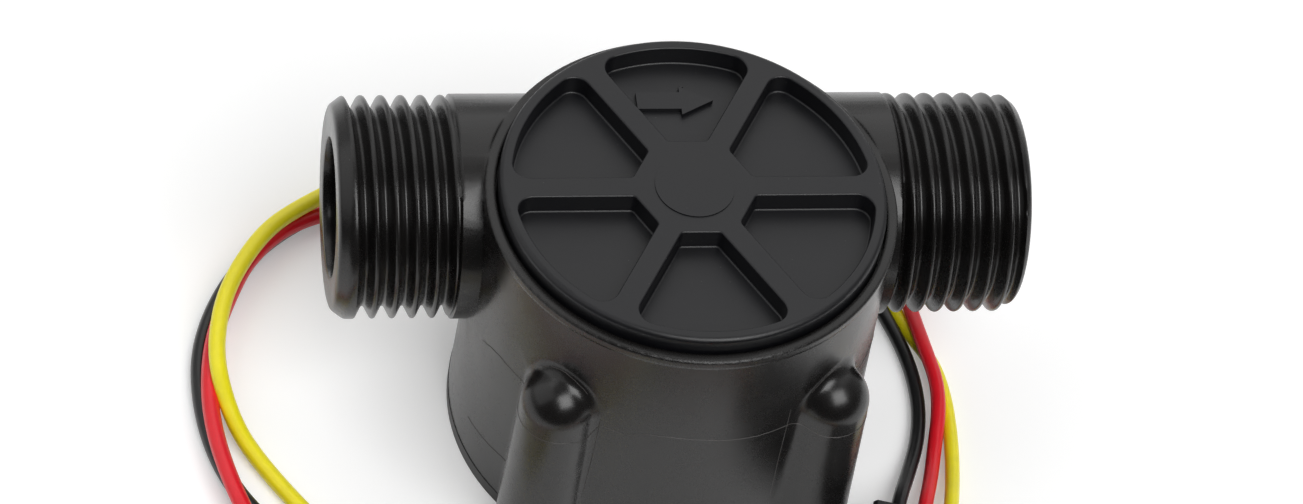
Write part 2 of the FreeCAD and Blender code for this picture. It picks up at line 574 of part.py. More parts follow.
def rotor():
    cup_r = MAGNET_R + MAGNET_WALL
    cup_z0 = ROTOR_Z0 + VANE_TRIM
    cup_z1 = cup_z0 + MAGNET_T + MAGNET_WALL
    solids = [cylinder(ROTOR_HUB_R, ROTOR_Z0, ROTOR_Z1), cylinder(cup_r, cup_z0, cup_z1)]
    solids += [vane(k * 360 / VANES) for k in range(VANES)]
    wheel = fused(*solids)
    wheel = wheel.cut(ring(MAGNET_BORE_R - PRESSED, MAGNET_R + PRESSED, cup_z0, cup_z0 + MAGNET_T))
    return wheel.cut(cylinder(BUSH_R + PRESSED, ROTOR_Z0, ROTOR_Z1))


def ring_magnet():
    z0 = ROTOR_Z0 + VANE_TRIM
    return ring(MAGNET_BORE_R, MAGNET_R, z0, z0 + MAGNET_T - PRESSED)


def bush(z0):
    return ring(PIN_R + RUNNING, BUSH_R, z0, z0 + BUSH_LEN)


def axle_pin():
    pin = cylinder(PIN_R, PIN_Z0, PIN_Z1)
    ends = [e for e in pin.Edges if e.BoundBox.ZLength < 1e-6]
    return pin.makeChamfer(PIN_CHAMFER, ends)


def thrust_washer(z0):
    return ring(PIN_R + RUNNING, WASHER_R, z0, z0 + WASHER_T)


# ---- Electronics ----
def sensor_board():
    board = block(BOARD_X0, BOARD_X1, BOARD_Y0, BOARD_Y1, BOARD_Z - BOARD_T, BOARD_Z)
    corners = [(x, y) for x in (BOARD_X0, BOARD_X1) for y in (BOARD_Y0, BOARD_Y1)]
    return board.makeFillet(BOARD_CORNER, upright_edges(board, corners))


def hall_sensor():
    return block(-HALL_X / 2, HALL_X / 2, MAGNET_MID_R - HALL_Y / 2, MAGNET_MID_R + HALL_Y / 2,
                 BOARD_Z, BOARD_Z + HALL_T)


def board_chips():
    """A resistor and a capacitor under the board."""
    z1 = BOARD_Z - BOARD_T
    y0 = BOARD_Y0 + CHIP_Y
    return Part.Compound([
        block(x, x + CHIP_X, y0, y0 + CHIP_Y, z1 - CHIP_T, z1) for x in CHIPS_AT
    ])


def potting():
    z0 = CEILING_Z - POTTING_T
    fill = cylinder(BAY_R - POTTING_GAP, z0, CEILING_Z - POTTING_GAP)
    taken = [cylinder(PIN_BOSS_R + POTTING_GAP, z0, CEILING_Z)]
    taken.append(block(BOARD_X0 - POTTING_GAP, BOARD_X1 + POTTING_GAP, BOARD_Y0 - POTTING_GAP,
                       BOARD_Y1 + POTTING_GAP, BOARD_Z - BOARD_T - CHIP_T - POTTING_GAP, CEILING_Z))
    for lane in (-1, 0, 1):
        taken.append(cylinder(WIRE_D / 2 + POTTING_GAP, z0, CEILING_Z,
                              EXIT_X + lane * WIRE_PITCH, BOARD_PAD_Y))
    return fill.cut(fused(*taken))


# ---- Cable exit ----
def wire_grommet():
    """A rubber block in the skirt's slot, with a lip that hugs the wall and three holes."""
    lip_out = METER_R + GROMMET_LIP_T
    core = exit_notch().common(ring(BAY_R - GROMMET_LIP, lip_out, BODY_Z, CEILING_Z))
    lip_w = GROMMET_W / 2 + GROMMET_LIP
    lip = block(EXIT_X - lip_w, EXIT_X + lip_w, 0, lip_out + OVERCUT, BODY_Z,
                BODY_Z + GROMMET_H + GROMMET_LIP)
    lip = lip.common(ring(METER_R + GROMMET_FIT, lip_out, BODY_Z, CEILING_Z))
    grommet = fused(core, lip)
    for lane in (-1, 0, 1):
        hole = Part.makeCylinder(WIRE_D / 2 + WIRE_GAP, lip_out,
                                 V(EXIT_X + lane * WIRE_PITCH, BAY_R / 2, EXIT_Z), V(0, 1, 0))
        grommet = grommet.cut(hole)
    return grommet


# ---- Cover and screws ----
def bottom_cover():
    plate = fused(cylinder(METER_R + COVER_STEP, 0, COVER_T),
                  *[cylinder(EAR_R, 0, COVER_T, x, y) for x, y in boss_places()])
    ring_r = BAY_R - COVER_FIT
    locating = ring(ring_r - COVER_RING_W, ring_r, COVER_T, COVER_T + COVER_RING_H)
    cover = fused(plate, locating.cut(exit_notch(COVER_FIT)))
    for x, y in boss_places():
        cover = cover.cut(cylinder(SCREW_R + COVER_FIT, 0, COVER_T, x, y))
        head = cone(SCREW_HEAD_R + COVER_FIT, SCREW_R + COVER_FIT, 0, SCREW_HEAD_H, x, y)
        cover = cover.cut(head)
    return cover


def cover_screw(x, y):
    z0, head_z = SCREW_RECESS, SCREW_RECESS + SCREW_HEAD_H
    screw = fused(cone(SCREW_HEAD_R, SCREW_R, z0, head_z, x, y),
                  cylinder(SCREW_R, head_z, SCREW_LEN - SCREW_R, x, y),
                  cone(SCREW_R, SCREW_TIP_R, SCREW_LEN - SCREW_R, SCREW_LEN, x, y))
    w, l = CROSS_W / 2, CROSS_L / 2
    cross = fused(block(x - l, x + l, y - w, y + w, z0, z0 + CROSS_DEPTH),
                  block(x - w, x + w, y - l, y + l, z0, z0 + CROSS_DEPTH))
    return screw.cut(cross)


# ---- Connector, built along +X from the plug's rear face, then set in place ----
def in_place(shape):
    shape.rotate(V(0, 0, 0), UP, PLUG_HEADING)
    shape.translate(in_plug(0, 0))
    return shape


def bar(x0, x1, width, height, y=0.0):
    return block(x0, x1, y - width / 2, y + width / 2, -height / 2, height / 2)


def eased(solid):
    """The bar with its long edges taken off."""
    long_edges = [e for e in solid.Edges if e.BoundBox.YLength + e.BoundBox.ZLength < 1e-6]
    return solid.makeChamfer(CONNECTOR_EDGE, long_edges)


def ways(r, x0, x1):
    return [Part.makeCylinder(r, x1 - x0, V(x0, lane * PITCH, 0), ALONG) for lane in (-1, 0, 1)]


def plug_housing():
    shell = eased(bar(0, PLUG_L, PLUG_W, PLUG_H))
    gap = NOSE_GAP * 2
    cavity = bar(PLUG_L - PLUG_CAVITY, PLUG_L, NOSE_W + gap, NOSE_H + gap)
    latch_x = PLUG_L - LATCH_AT
    window_w = LATCH_W + 2 * LATCH_PLAY
    window = bar(latch_x - LATCH_PLAY, latch_x + LATCH_L + LATCH_PLAY, window_w, PLUG_H)
    window.translate(UP * (PLUG_H / 2))
    return in_place(shell.cut(fused(cavity, window, *ways(WIRE_D / 2 + WIRE_GAP, 0, PLUG_L))))


def plug_terminals():
    x1 = ENTRY + CRIMP_L
    tip = PLUG_L - PLUG_CAVITY + BLADE_REACH
    pieces = [
        crimp.fuse(bar(x1 - CRIMP_LAP, tip, BLADE_W, BLADE_W, lane * PITCH))
        for lane, crimp in zip((-1, 0, 1), ways(WIRE_D / 2, ENTRY, x1))
    ]
    return in_place(Part.Compound(pieces))


def socket_housing():
    nose = bar(PLUG_L - NOSE_L, PLUG_L, NOSE_W, NOSE_H)
    grip = eased(bar(PLUG_L, PLUG_L + SOCKET_L, SOCKET_W, SOCKET_H))
    latch_x = PLUG_L - LATCH_AT
    latch_z = NOSE_H / 2
    latch = block(latch_x, latch_x + LATCH_L, -LATCH_W / 2, LATCH_W / 2, latch_z, latch_z + LATCH_H)
    cuts = ways(LEAD_D / 2 + WIRE_GAP, PLUG_L - NOSE_L, PLUG_L + SOCKET_L)
    return in_place(fused(nose, grip, latch).cut(fused(*cuts)))


def socket_terminals():
    """Sprung sleeves over the plug's blades, with a crimp on each lead."""
    rear = PLUG_L + SOCKET_L - ENTRY
    sleeve_x0 = PLUG_L - NOSE_L + SLEEVE_SETBACK
    hollow_w = BLADE_W + 2 * BLADE_FIT
    pieces = []
    for lane in (-1, 0, 1):
        sleeve = bar(sleeve_x0, rear - CRIMP_L, SLEEVE_W, SLEEVE_W, lane * PITCH)
        hollow = bar(sleeve_x0, PLUG_L, hollow_w, hollow_w, lane * PITCH)
        crimp = Part.makeCylinder(LEAD_D / 2, CRIMP_L, V(rear - CRIMP_L, lane * PITCH, 0), ALONG)
        pieces.append(sleeve.cut(hollow).fuse(crimp))
    return in_place(Part.Compound(pieces))


def lead_tips():
    """The stripped and tinned ends of the three leads."""
    tips = []
    for route in (BLACK_LEAD, RED_LEAD, YELLOW_LEAD):
        tips.append(Part.makeCylinder(TIP_R, TIP_L, route[-1], route[-1] - route[-2]))
    return Part.Compound(tips)


def build():
    os.makedirs("parts", exist_ok=True)
    save("meter_body", meter_body())
    save("top_cap", top_cap())
    save("cap_seal", cap_seal())
    save("rotor", rotor())
    save("ring_magnet", ring_magnet())
    save("lower_bush", bush(ROTOR_Z0))
    save("upper_bush", bush(ROTOR_Z1 - BUSH_LEN))
    save("axle_pin", axle_pin())
    save("lower_washer", thrust_washer(FLOOR_BOSS_Z))
    save("upper_washer", thrust_washer(CAP_BOSS_Z - WASHER_T))
    save("sensor_board", sensor_board())
    save("hall_sensor", hall_sensor())
    save("board_chips", board_chips())
    save("potting", potting())
    save("wire_grommet", wire_grommet())
    save("bottom_cover", bottom_cover())
    save("cover_screws", Part.Compound([cover_screw(x, y) for x, y in boss_places()]))
    save("plug_housing", plug_housing())
    save("plug_terminals", plug_terminals())
    save("socket_housing", socket_housing())
    save("socket_terminals", socket_terminals())
    save("lead_tips", lead_tips())
    save("black_wire", tube("black_wire", BLACK_WIRE, WIRE_D))
    save("red_wire", tube("red_wire", RED_WIRE, WIRE_D))
    save("yellow_wire", tube("yellow_wire", YELLOW_WIRE, WIRE_D))
    save("black_lead", tube("black_lead", BLACK_LEAD, LEAD_D))
    save("red_lead", tube("red_lead", RED_LEAD, LEAD_D))
    save("yellow_lead", tube("yellow_lead", YELLOW_LEAD, LEAD_D))


build()
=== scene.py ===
import json
import math

import bmesh
import bpy
from bpy.props import FloatProperty, FloatVectorProperty, IntProperty, PointerProperty
from mathutils import Matrix, Vector
from mathutils.bvhtree import BVHTree

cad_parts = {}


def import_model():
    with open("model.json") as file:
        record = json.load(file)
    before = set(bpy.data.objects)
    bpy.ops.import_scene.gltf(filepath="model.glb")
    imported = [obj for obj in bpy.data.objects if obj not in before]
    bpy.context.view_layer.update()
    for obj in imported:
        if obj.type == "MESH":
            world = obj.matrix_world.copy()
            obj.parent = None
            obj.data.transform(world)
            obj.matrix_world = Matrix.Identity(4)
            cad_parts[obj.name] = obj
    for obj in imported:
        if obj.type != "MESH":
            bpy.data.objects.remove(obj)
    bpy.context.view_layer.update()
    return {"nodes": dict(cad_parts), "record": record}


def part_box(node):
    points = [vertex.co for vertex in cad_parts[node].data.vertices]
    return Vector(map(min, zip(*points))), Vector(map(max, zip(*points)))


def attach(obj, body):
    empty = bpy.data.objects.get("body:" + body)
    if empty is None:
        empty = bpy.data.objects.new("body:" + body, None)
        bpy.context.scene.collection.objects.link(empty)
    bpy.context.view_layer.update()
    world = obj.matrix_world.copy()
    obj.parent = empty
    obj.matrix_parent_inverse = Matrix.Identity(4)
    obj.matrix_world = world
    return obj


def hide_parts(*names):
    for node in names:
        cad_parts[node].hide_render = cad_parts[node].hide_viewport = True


bl_info = {
    "name": "Turbine Flow Meter",
    "version": (1, 0, 0),
    "blender": (4, 5, 0),
    "location": "View3D > Sidebar > Flow Meter",
    "description": "Dresses the flow meter's solids with threads, mould marks, wires and finishes",
    "category": "Object",
}

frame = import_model()
nodes = frame["nodes"]
mounts = {m["name"]: m for m in frame["record"]["mounts"]}

MM = 0.001
TURN = 2 * math.pi

# ---- Places that the solids give ----
body_low, body_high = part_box("meter_body")
cap_top_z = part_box("top_cap")[1].z
screw_low, screw_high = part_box("cover_screws")
pipe_mount = mounts["inlet_thread"]
PIPE_Y, PIPE_Z = pipe_mount["pos_m"][1:]
NECK_STEP = 0.16 * MM          # the neck stands this much proud of the thread's mount
NECK_R = pipe_mount["dims"]["r_mm"] * MM + NECK_STEP
PORT_R = 6.3 * MM
PORT_DEPTH = 10.0 * MM


# ---- Settings that a user would change ----
class FlowMeterThread(bpy.types.PropertyGroup):
    pitch: FloatProperty(name="Pitch", description="Distance from crest to crest",
                         default=1.814 * MM, unit="LENGTH", precision=5)
    depth: FloatProperty(name="Depth", description="From crest to root",
                         default=1.16 * MM, unit="LENGTH", precision=5)
    crest: FloatProperty(name="Crest radius", description="From the pipe's axis to the thread's crests",
                         default=10.12 * MM, unit="LENGTH", precision=5)
    inlet_crest: FloatProperty(name="Inlet crest", description="X of the inlet's first crest on top",
                               default=-29.8 * MM, unit="LENGTH", precision=5)
    outlet_crest: FloatProperty(name="Outlet crest", description="X of the outlet's first crest on top",
                                default=31.43 * MM, unit="LENGTH", precision=5)
    lead_ring: FloatProperty(name="Lead ring", description="Radius of the plain ring at the mouth",
                             default=9.25 * MM, unit="LENGTH", precision=5)
    lead: FloatProperty(name="Lead", description="Length over which the mouth widens to the crests",
                        default=1.45 * MM, unit="LENGTH", precision=5)
    around: IntProperty(name="Points around", description="Points in each ring of the thread",
                        default=144, min=48, max=360)


class FlowMeterMarks(bpy.types.PropertyGroup):
    ridge: FloatProperty(name="Ridge", description="Width of the flash that the mould leaves",
                         default=0.13 * MM, unit="LENGTH", precision=5)
    pin_mark: FloatProperty(name="Pin mark", description="Radius of the pin mark in the arrow's pocket",
                            default=0.22 * MM, unit="LENGTH", precision=5)
    pin_place: FloatVectorProperty(name="Pin place", description="Where the pin mark stands on the cap",
                                   size=2, subtype="XYZ", default=(0.6 * MM, 13.3 * MM), precision=5)


class FlowMeterFinish(bpy.types.PropertyGroup):
    housing: FloatVectorProperty(name="Housing", description="Colour of the moulded housing",
                                 subtype="COLOR", default=(0.0075, 0.0068, 0.0066), min=0, max=1)
    cap: FloatVectorProperty(name="Cap", description="Colour of the cap",
                             subtype="COLOR", default=(0.0036, 0.0037, 0.0052), min=0, max=1)
    black: FloatVectorProperty(name="Black wire", description="Colour of the black insulation",
                               subtype="COLOR", default=(0.006, 0.006, 0.0065), min=0, max=1)
    red: FloatVectorProperty(name="Red wire", description="Colour of the red insulation",
                             subtype="COLOR", default=(0.80, 0.010, 0.022), min=0, max=1)
    yellow: FloatVectorProperty(name="Yellow wire", description="Colour of the yellow insulation",
                                subtype="COLOR", default=(0.93, 0.82, 0.012), min=0, max=1)


class FlowMeterWires(bpy.types.PropertyGroup):
    pigtail: FloatProperty(name="Sensor wire", description="Diameter of the sensor's own wires",
                           default=1.4 * MM, unit="LENGTH", precision=5)
    lead: FloatProperty(name="Lead", description="Diameter of the leads behind the plug",
                        default=1.6 * MM, unit="LENGTH", precision=5)
    strand: FloatProperty(name="Strand", description="Diameter of one copper strand",
                          default=0.3 * MM, unit="LENGTH", precision=5)


class FlowMeterStage(bpy.types.PropertyGroup):
    lens: FloatProperty(name="Lens", description="Focal length for a 36 mm sensor", default=124.84)
    azimuth: FloatProperty(name="Azimuth", description="Where the camera stands, round the meter",
                           subtype="ANGLE", default=math.radians(-15.25))
    elevation: FloatProperty(name="Elevation", description="How high the camera stands",
                             subtype="ANGLE", default=math.radians(50.35))
    roll: FloatProperty(name="Roll", description="Tilt of the camera about its own axis",
                        subtype="ANGLE", default=math.radians(11.28))
    distance: FloatProperty(name="Distance", description="From the camera to the point it looks at",
                            default=0.40635, unit="LENGTH")
    target: FloatVectorProperty(name="Target", description="The point that the camera looks at",
                                subtype="XYZ", default=(-0.0027, 0.0, 0.02261), precision=5)
    floor: FloatProperty(name="Floor", description="How light the floor's colour is", default=0.86)
    floor_glow: FloatProperty(name="Floor glow", description="What lifts the floor to a white ground",
                              default=0.26)
    world: FloatProperty(name="World behind", description="Strength of the room's light behind",
                         default=0.45)
    world_front: FloatProperty(name="World in front", description="Strength of the light in front",
                               default=0.05)
    key: FloatProperty(name="Key lamp", description="Power of the front lamp",
                       default=5.8, unit="POWER")
    sky: FloatProperty(name="Sky lamp", description="Power of the broad lamp above and behind",
                       default=4.6, unit="POWER")
    side: FloatProperty(name="Side lamp", description="Power of the soft lamp on the inlet's side",
                        default=2.0, unit="POWER")


class FlowMeterSettings(bpy.types.PropertyGroup):
    thread: PointerProperty(type=FlowMeterThread)
    marks: PointerProperty(type=FlowMeterMarks)
    finish: PointerProperty(type=FlowMeterFinish)
    wires: PointerProperty(type=FlowMeterWires)
    stage: PointerProperty(type=FlowMeterStage)


def settings():
    return bpy.context.scene.flow_meter


# ---- Shader node groups ----
def new_group(name, inputs, outputs):
    """An empty shader node group with its sockets: the tree, its input node and its output node."""
    tree = bpy.data.node_groups.new(name, "ShaderNodeTree")
    for socket, kind, value in inputs:
        made = tree.interface.new_socket(socket, in_out="INPUT", socket_type=kind)
        if value is not None:
            made.default_value = value
    for socket, kind in outputs:
        tree.interface.new_socket(socket, in_out="OUTPUT", socket_type=kind)
    return tree, tree.nodes.new("NodeGroupInput"), tree.nodes.new("NodeGroupOutput")


def add(tree, kind, **values):
    """A node with its properties and input values set by name."""
    node = tree.nodes.new(kind)
    for key, value in values.items():
        if hasattr(node, key):
            setattr(node, key, value)
        else:
            node.inputs[key.replace("_", " ")].default_value = value
    return node


def maths(tree, operation, *sources):
    """The result of a maths node that takes sockets or plain numbers."""
    node = add(tree, "ShaderNodeMath", operation=operation)
    for held, source in zip(node.inputs, sources):
        if isinstance(source, bpy.types.NodeSocket):
            tree.links.new(source, held)
        else:
            held.default_value = source
    return node.outputs[0]


def sized_noise(tree, size_socket, source, detail, rough=0.5):
    """Noise in object space whose blobs are as large as the given size."""
    coords = add(tree, "ShaderNodeTexCoord")
    noise = add(tree, "ShaderNodeTexNoise", Detail=detail, Roughness=rough)
    tree.links.new(coords.outputs["Object"], noise.inputs["Vector"])
    tree.links.new(maths(tree, "DIVIDE", 1.0, source.outputs[size_socket]), noise.inputs["Scale"])
    return noise


def remapped(tree, source, low, high, to_low, to_high):
    """A value moved from one range to another, and kept within it."""
    node = add(tree, "ShaderNodeMapRange", From_Min=low, From_Max=high, To_Min=to_low, To_Max=to_high)
    tree.links.new(source, node.inputs["Value"])
    return node.outputs["Result"]


def moulded_surface_group():
    """Fine grain and slow flow marks of a moulded plastic: a height, a shade and a gloss mask."""
    tree, given, out = new_group(
        "moulded_surface",
        [("Grain Size", "NodeSocketFloat", 0.00012), ("Flow Size", "NodeSocketFloat", 0.006)],
        [("Height", "NodeSocketFloat"), ("Shade", "NodeSocketFloat"), ("Gloss", "NodeSocketFloat")])
    grain = sized_noise(tree, "Grain Size", given, 3.0)
    flow = sized_noise(tree, "Flow Size", given, 4.0, 0.6)
    tree.links.new(grain.outputs["Fac"], out.inputs["Height"])
    tree.links.new(remapped(tree, flow.outputs["Fac"], 0.3, 0.7, 0.0, 1.0), out.inputs["Shade"])
    mixed = maths(tree, "MULTIPLY_ADD", grain.outputs["Fac"], 0.6, flow.outputs["Fac"])
    tree.links.new(remapped(tree, mixed, 0.5, 1.1, 0.0, 1.0), out.inputs["Gloss"])
    return tree


def dust_group():
    """Scattered pale specks, as a mask."""
    tree, given, out = new_group(
        "dust_specks",
        [("Spacing", "NodeSocketFloat", 0.0016), ("Amount", "NodeSocketFloat", 0.05)],
        [("Mask", "NodeSocketFloat")])
    coords = add(tree, "ShaderNodeTexCoord")
    cells = add(tree, "ShaderNodeTexVoronoi", feature="F1")
    tree.links.new(coords.outputs["Object"], cells.inputs["Vector"])
    tree.links.new(maths(tree, "DIVIDE", 1.0, given.outputs["Spacing"]), cells.inputs["Scale"])
    near = maths(tree, "LESS_THAN", cells.outputs["Distance"], given.outputs["Amount"])
    tree.links.new(near, out.inputs["Mask"])
    return tree


def drawn_metal_group():
    """Fine lines along one direction, as a height and a gloss mask."""
    tree, given, out = new_group(
        "drawn_metal",
        [("Line Size", "NodeSocketFloat", 0.00008), ("Stretch", "NodeSocketVector", (1.0, 1.0, 0.03))],
        [("Height", "NodeSocketFloat"), ("Gloss", "NodeSocketFloat")])
    coords = add(tree, "ShaderNodeTexCoord")
    squeezed = add(tree, "ShaderNodeVectorMath", operation="MULTIPLY")
    tree.links.new(coords.outputs["Object"], squeezed.inputs[0])
    tree.links.new(given.outputs["Stretch"], squeezed.inputs[1])
    lines = add(tree, "ShaderNodeTexNoise", Detail=2.0)
    tree.links.new(squeezed.outputs[0], lines.inputs["Vector"])
    tree.links.new(maths(tree, "DIVIDE", 1.0, given.outputs["Line Size"]), lines.inputs["Scale"])
    tree.links.new(lines.outputs["Fac"], out.inputs["Height"])
    tree.links.new(remapped(tree, lines.outputs["Fac"], 0.3, 0.7, 0.0, 1.0), out.inputs["Gloss"])
    return tree


def group(name):
    """The shared node group of that name, built the first time it is asked for."""
    makers = {"moulded_surface": moulded_surface_group, "dust_specks": dust_group,
              "drawn_metal": drawn_metal_group}
    return bpy.data.node_groups.get(name) or makers[name]()


# ---- Materials ----
DUST_COLOUR = (0.05, 0.05, 0.05, 1.0)
EDGE_FADE = 0.2 * MM           # height over which the eased edges set in
DRAWN_LINE = 0.08 * MM


def new_material(name):
    """A material with an empty tree but for its Principled shader and output."""
    material = bpy.data.materials.new(name)
    material.use_nodes = True
    tree = material.node_tree
    shader = tree.nodes["Principled BSDF"]
    return material, tree, shader


def use_group(tree, name, **values):
    """A shared node group placed in a tree, with its own values."""
    node = tree.nodes.new("ShaderNodeGroup")
    node.node_tree = group(name)
    for key, value in values.items():
        node.inputs[key.replace("_", " ")].default_value = value
    return node


def two_tone(tree, mask, dark, light):
    """A colour between two, by a mask."""
    mix = add(tree, "ShaderNodeMix", data_type="RGBA")
    tree.links.new(mask, mix.inputs["Factor"])
    mix.inputs["A"].default_value = (*dark, 1.0)
    mix.inputs["B"].default_value = (*light, 1.0)
    return mix.outputs["Result"]


def bumped(tree, shader, height, distance, strength, edge=0.0, edge_above=None):
    """Grain in the shader's normal, over edges that are eased by a radius, there or above a height."""
    bump = add(tree, "ShaderNodeBump", Strength=strength, Distance=distance)
    tree.links.new(height, bump.inputs["Height"])
    if edge:
        eased = add(tree, "ShaderNodeBevel", samples=6, Radius=edge)
        if edge_above is not None:
            place = add(tree, "ShaderNodeSeparateXYZ")
            tree.links.new(add(tree, "ShaderNodeTexCoord").outputs["Object"], place.inputs[0])
            reach = remapped(tree, place.outputs["Z"], edge_above, edge_above + EDGE_FADE, 0.0, edge)
            tree.links.new(reach, eased.inputs["Radius"])
        tree.links.new(eased.outputs["Normal"], bump.inputs["Normal"])
    tree.links.new(bump.outputs["Normal"], shader.inputs["Normal"])


def plastic(name, colour, rough=(0.34, 0.46), spread=0.25, grain=0.12 * MM, flow=6 * MM,
            depth=0.004 * MM, strength=0.35, edge=0.0, edge_above=None, ior=1.5, dust=0.0):
    """A moulded plastic: slow colour drift, grain in its gloss and its normal, and a little dust."""
    material, tree, shader = new_material(name)
    surface = use_group(tree, "moulded_surface", Grain_Size=grain, Flow_Size=flow)
    dark = [c * (1 - spread) for c in colour]
    light = [min(1.0, c * (1 + spread)) for c in colour]
    tone = two_tone(tree, surface.outputs["Shade"], dark, light)
    if dust:
        specks = use_group(tree, "dust_specks", Amount=dust)
        over = add(tree, "ShaderNodeMix", data_type="RGBA")
        tree.links.new(specks.outputs["Mask"], over.inputs["Factor"])
        tree.links.new(tone, over.inputs["A"])
        over.inputs["B"].default_value = DUST_COLOUR
        tone = over.outputs["Result"]
    tree.links.new(tone, shader.inputs["Base Color"])
    gloss = remapped(tree, surface.outputs["Gloss"], 0.0, 1.0, *rough)
    tree.links.new(gloss, shader.inputs["Roughness"])
    shader.inputs["IOR"].default_value = ior
    bumped(tree, shader, surface.outputs["Height"], depth, strength, edge, edge_above)
    return material


def metal(name, colour, rough=(0.18, 0.36)):
    """A bare metal with fine drawn or turned lines."""
    material, tree, shader = new_material(name)
    lines = use_group(tree, "drawn_metal", Line_Size=DRAWN_LINE, Stretch=(1.0, 1.0, 0.03))
    shade = two_tone(tree, lines.outputs["Gloss"], [c * 0.85 for c in colour], colour)
    tree.links.new(shade, shader.inputs["Base Color"])
    shader.inputs["Metallic"].default_value = 1.0
    tree.links.new(remapped(tree, lines.outputs["Gloss"], 0.0, 1.0, *rough), shader.inputs["Roughness"])
    bumped(tree, shader, lines.outputs["Height"], distance=0.002 * MM, strength=0.4)
    return material


def charcoal_housing():
    return plastic("charcoal_housing", settings().finish.housing, rough=(0.22, 0.32), dust=0.03,
                   edge=0.4 * MM, edge_above=28.4 * MM)


def charcoal_cap():
    return plastic("charcoal_cap", settings().finish.cap, rough=(0.36, 0.48), grain=0.16 * MM,
                   dust=0.03)


def charcoal_cover():
    return plastic("charcoal_cover", settings().finish.housing, rough=(0.36, 0.5), edge=0.12 * MM)


def insulation(name, colour):
    return plastic(name, colour, rough=(0.28, 0.4), spread=0.04, grain=0.1 * MM, flow=1.6 * MM,
                   depth=0.006 * MM, strength=0.3, ior=1.53)


def circuit_board():
    """Green lacquer over the copper's faint tracks."""
    material, tree, shader = new_material("board_lacquer")
    coords = add(tree, "ShaderNodeTexCoord")
    tracks = add(tree, "ShaderNodeTexBrick", Scale=520.0, Mortar_Size=0.012)
    tree.links.new(coords.outputs["Object"], tracks.inputs["Vector"])
    shade = two_tone(tree, tracks.outputs["Fac"], (0.008, 0.085, 0.03), (0.02, 0.16, 0.06))
    tree.links.new(shade, shader.inputs["Base Color"])
    surface = use_group(tree, "moulded_surface", Grain_Size=0.3 * MM, Flow_Size=3 * MM)
    tree.links.new(remapped(tree, surface.outputs["Gloss"], 0.0, 1.0, 0.2, 0.34),
                   shader.inputs["Roughness"])
    bumped(tree, shader, tracks.outputs["Fac"], distance=0.02 * MM, strength=0.5)
    return material


def dress(material, *names):
    """Gives CAD nodes a finish."""
    for name in names:
        for held in nodes[name].material_slots:
            held.material = material


# ---- Meshes round the pipe's axis ----
def on_pipe(x, radius, turn):
    """A point round the pipe; turn 0 is on top and grows over the front towards the underside."""
    return Vector((x, PIPE_Y - radius * math.sin(turn), PIPE_Z + radius * math.cos(turn)))


def pipe_turn(vert):
    return math.atan2(PIPE_Y - vert.co.y, vert.co.z - PIPE_Z) % TURN


def pipe_radius(vert):
    return math.hypot(vert.co.y - PIPE_Y, vert.co.z - PIPE_Z)


def new_ring(mesh, around, x, radius_at):
    """A ring of points round the pipe, with a radius for each turn."""
    turns = [TURN * k / around for k in range(around)]
    return [mesh.verts.new(on_pipe(x, radius_at(turn), turn)) for turn in turns]


def skin(mesh, rings):
    """Quads between rings of equal counts."""
    for a, b in zip(rings, rings[1:]):
        for k in range(len(a)):
            n = (k + 1) % len(a)
            mesh.faces.new((a[k], a[n], b[n], b[k]))


def stitch(mesh, ring_a, ring_b):
    """Triangles between two rings of points round the pipe, whatever their counts."""
    a, b = sorted(ring_a, key=pipe_turn), sorted(ring_b, key=pipe_turn)
    i = j = 0
    while i < len(a) or j < len(b):
        turn_a = pipe_turn(a[(i + 1) % len(a)]) + TURN * ((i + 1) // len(a))
        turn_b = pipe_turn(b[(j + 1) % len(b)]) + TURN * ((j + 1) // len(b))
        here_a, here_b = a[i % len(a)], b[j % len(b)]
        if j >= len(b) or (i < len(a) and turn_a <= turn_b):
            mesh.faces.new((here_a, a[(i + 1) % len(a)], here_b))
            i += 1
        else:
            mesh.faces.new((here_a, b[(j + 1) % len(b)], here_b))
            j += 1


# ---- The pipe thread ----
FORM_DEPTH, FORM_ROUND = 0.6403, 0.1373    # of the 55 degree form, as shares of the pitch
FORM_FLANK = math.radians(27.5)
START_TURN = 1.2               # radians over which the first groove fades in, on the underside
RUN_OUT = 0.5 * MM             # length over which the thread ends at the neck
RAMP_EASE = 0.4                # share of the lead that rounds over to the crests
NECK_GROOVE, NECK_GROOVE_W = 0.3 * MM, 0.26 * MM
NECK_JOIN = 0.03 * MM          # the solid is cut this far inside the neck
MOUTH_EDGE = 0.25 * MM
MOUTH_FACE_R = 8.2 * MM        # a ring of points half way over the mouth's flat face
PORT_EDGE = [(0.0, 0.35 * MM), (0.08 * MM, 0.1 * MM), (0.35 * MM, 0.0)]    # inset, and past the port
RINGS_A_PITCH = 20
PORT_RINGS = 12
LAP, LAP_LIFT = 0.02 * MM, 0.01 * MM       # where the new port meets the solid's water way


def form_depth(phase):
    """How deep the 55 degree thread form lies under its crest, as a share of the pitch."""
    off = abs((phase + 0.5) % 1.0 - 0.5)
    arc_end = FORM_ROUND * math.cos(FORM_FLANK)
    arc_depth = FORM_ROUND * (1 - math.sin(FORM_FLANK))
    if off < arc_end:
        return FORM_ROUND - math.sqrt(FORM_ROUND**2 - off**2)
    if off > 0.5 - arc_end:
        return FORM_DEPTH - FORM_ROUND + math.sqrt(FORM_ROUND**2 - (0.5 - off) ** 2)
    return arc_depth + (off - arc_end) / math.tan(FORM_FLANK)


def smooth(t):
    """A rise from 0 to 1 that is level at both ends."""
    t = min(max(t, 0.0), 1.0)
    return t * t * (3 - 2 * t)


def eased_ramp(t):
    """A straight rise from 0 to 1 whose last part rounds over to level."""
    level = 1.0 / (1.0 - RAMP_EASE / 2)
    if t < 1 - RAMP_EASE:
        return t * level
    return 1.0 - level * max(1 - t, 0.0) ** 2 / (2 * RAMP_EASE)


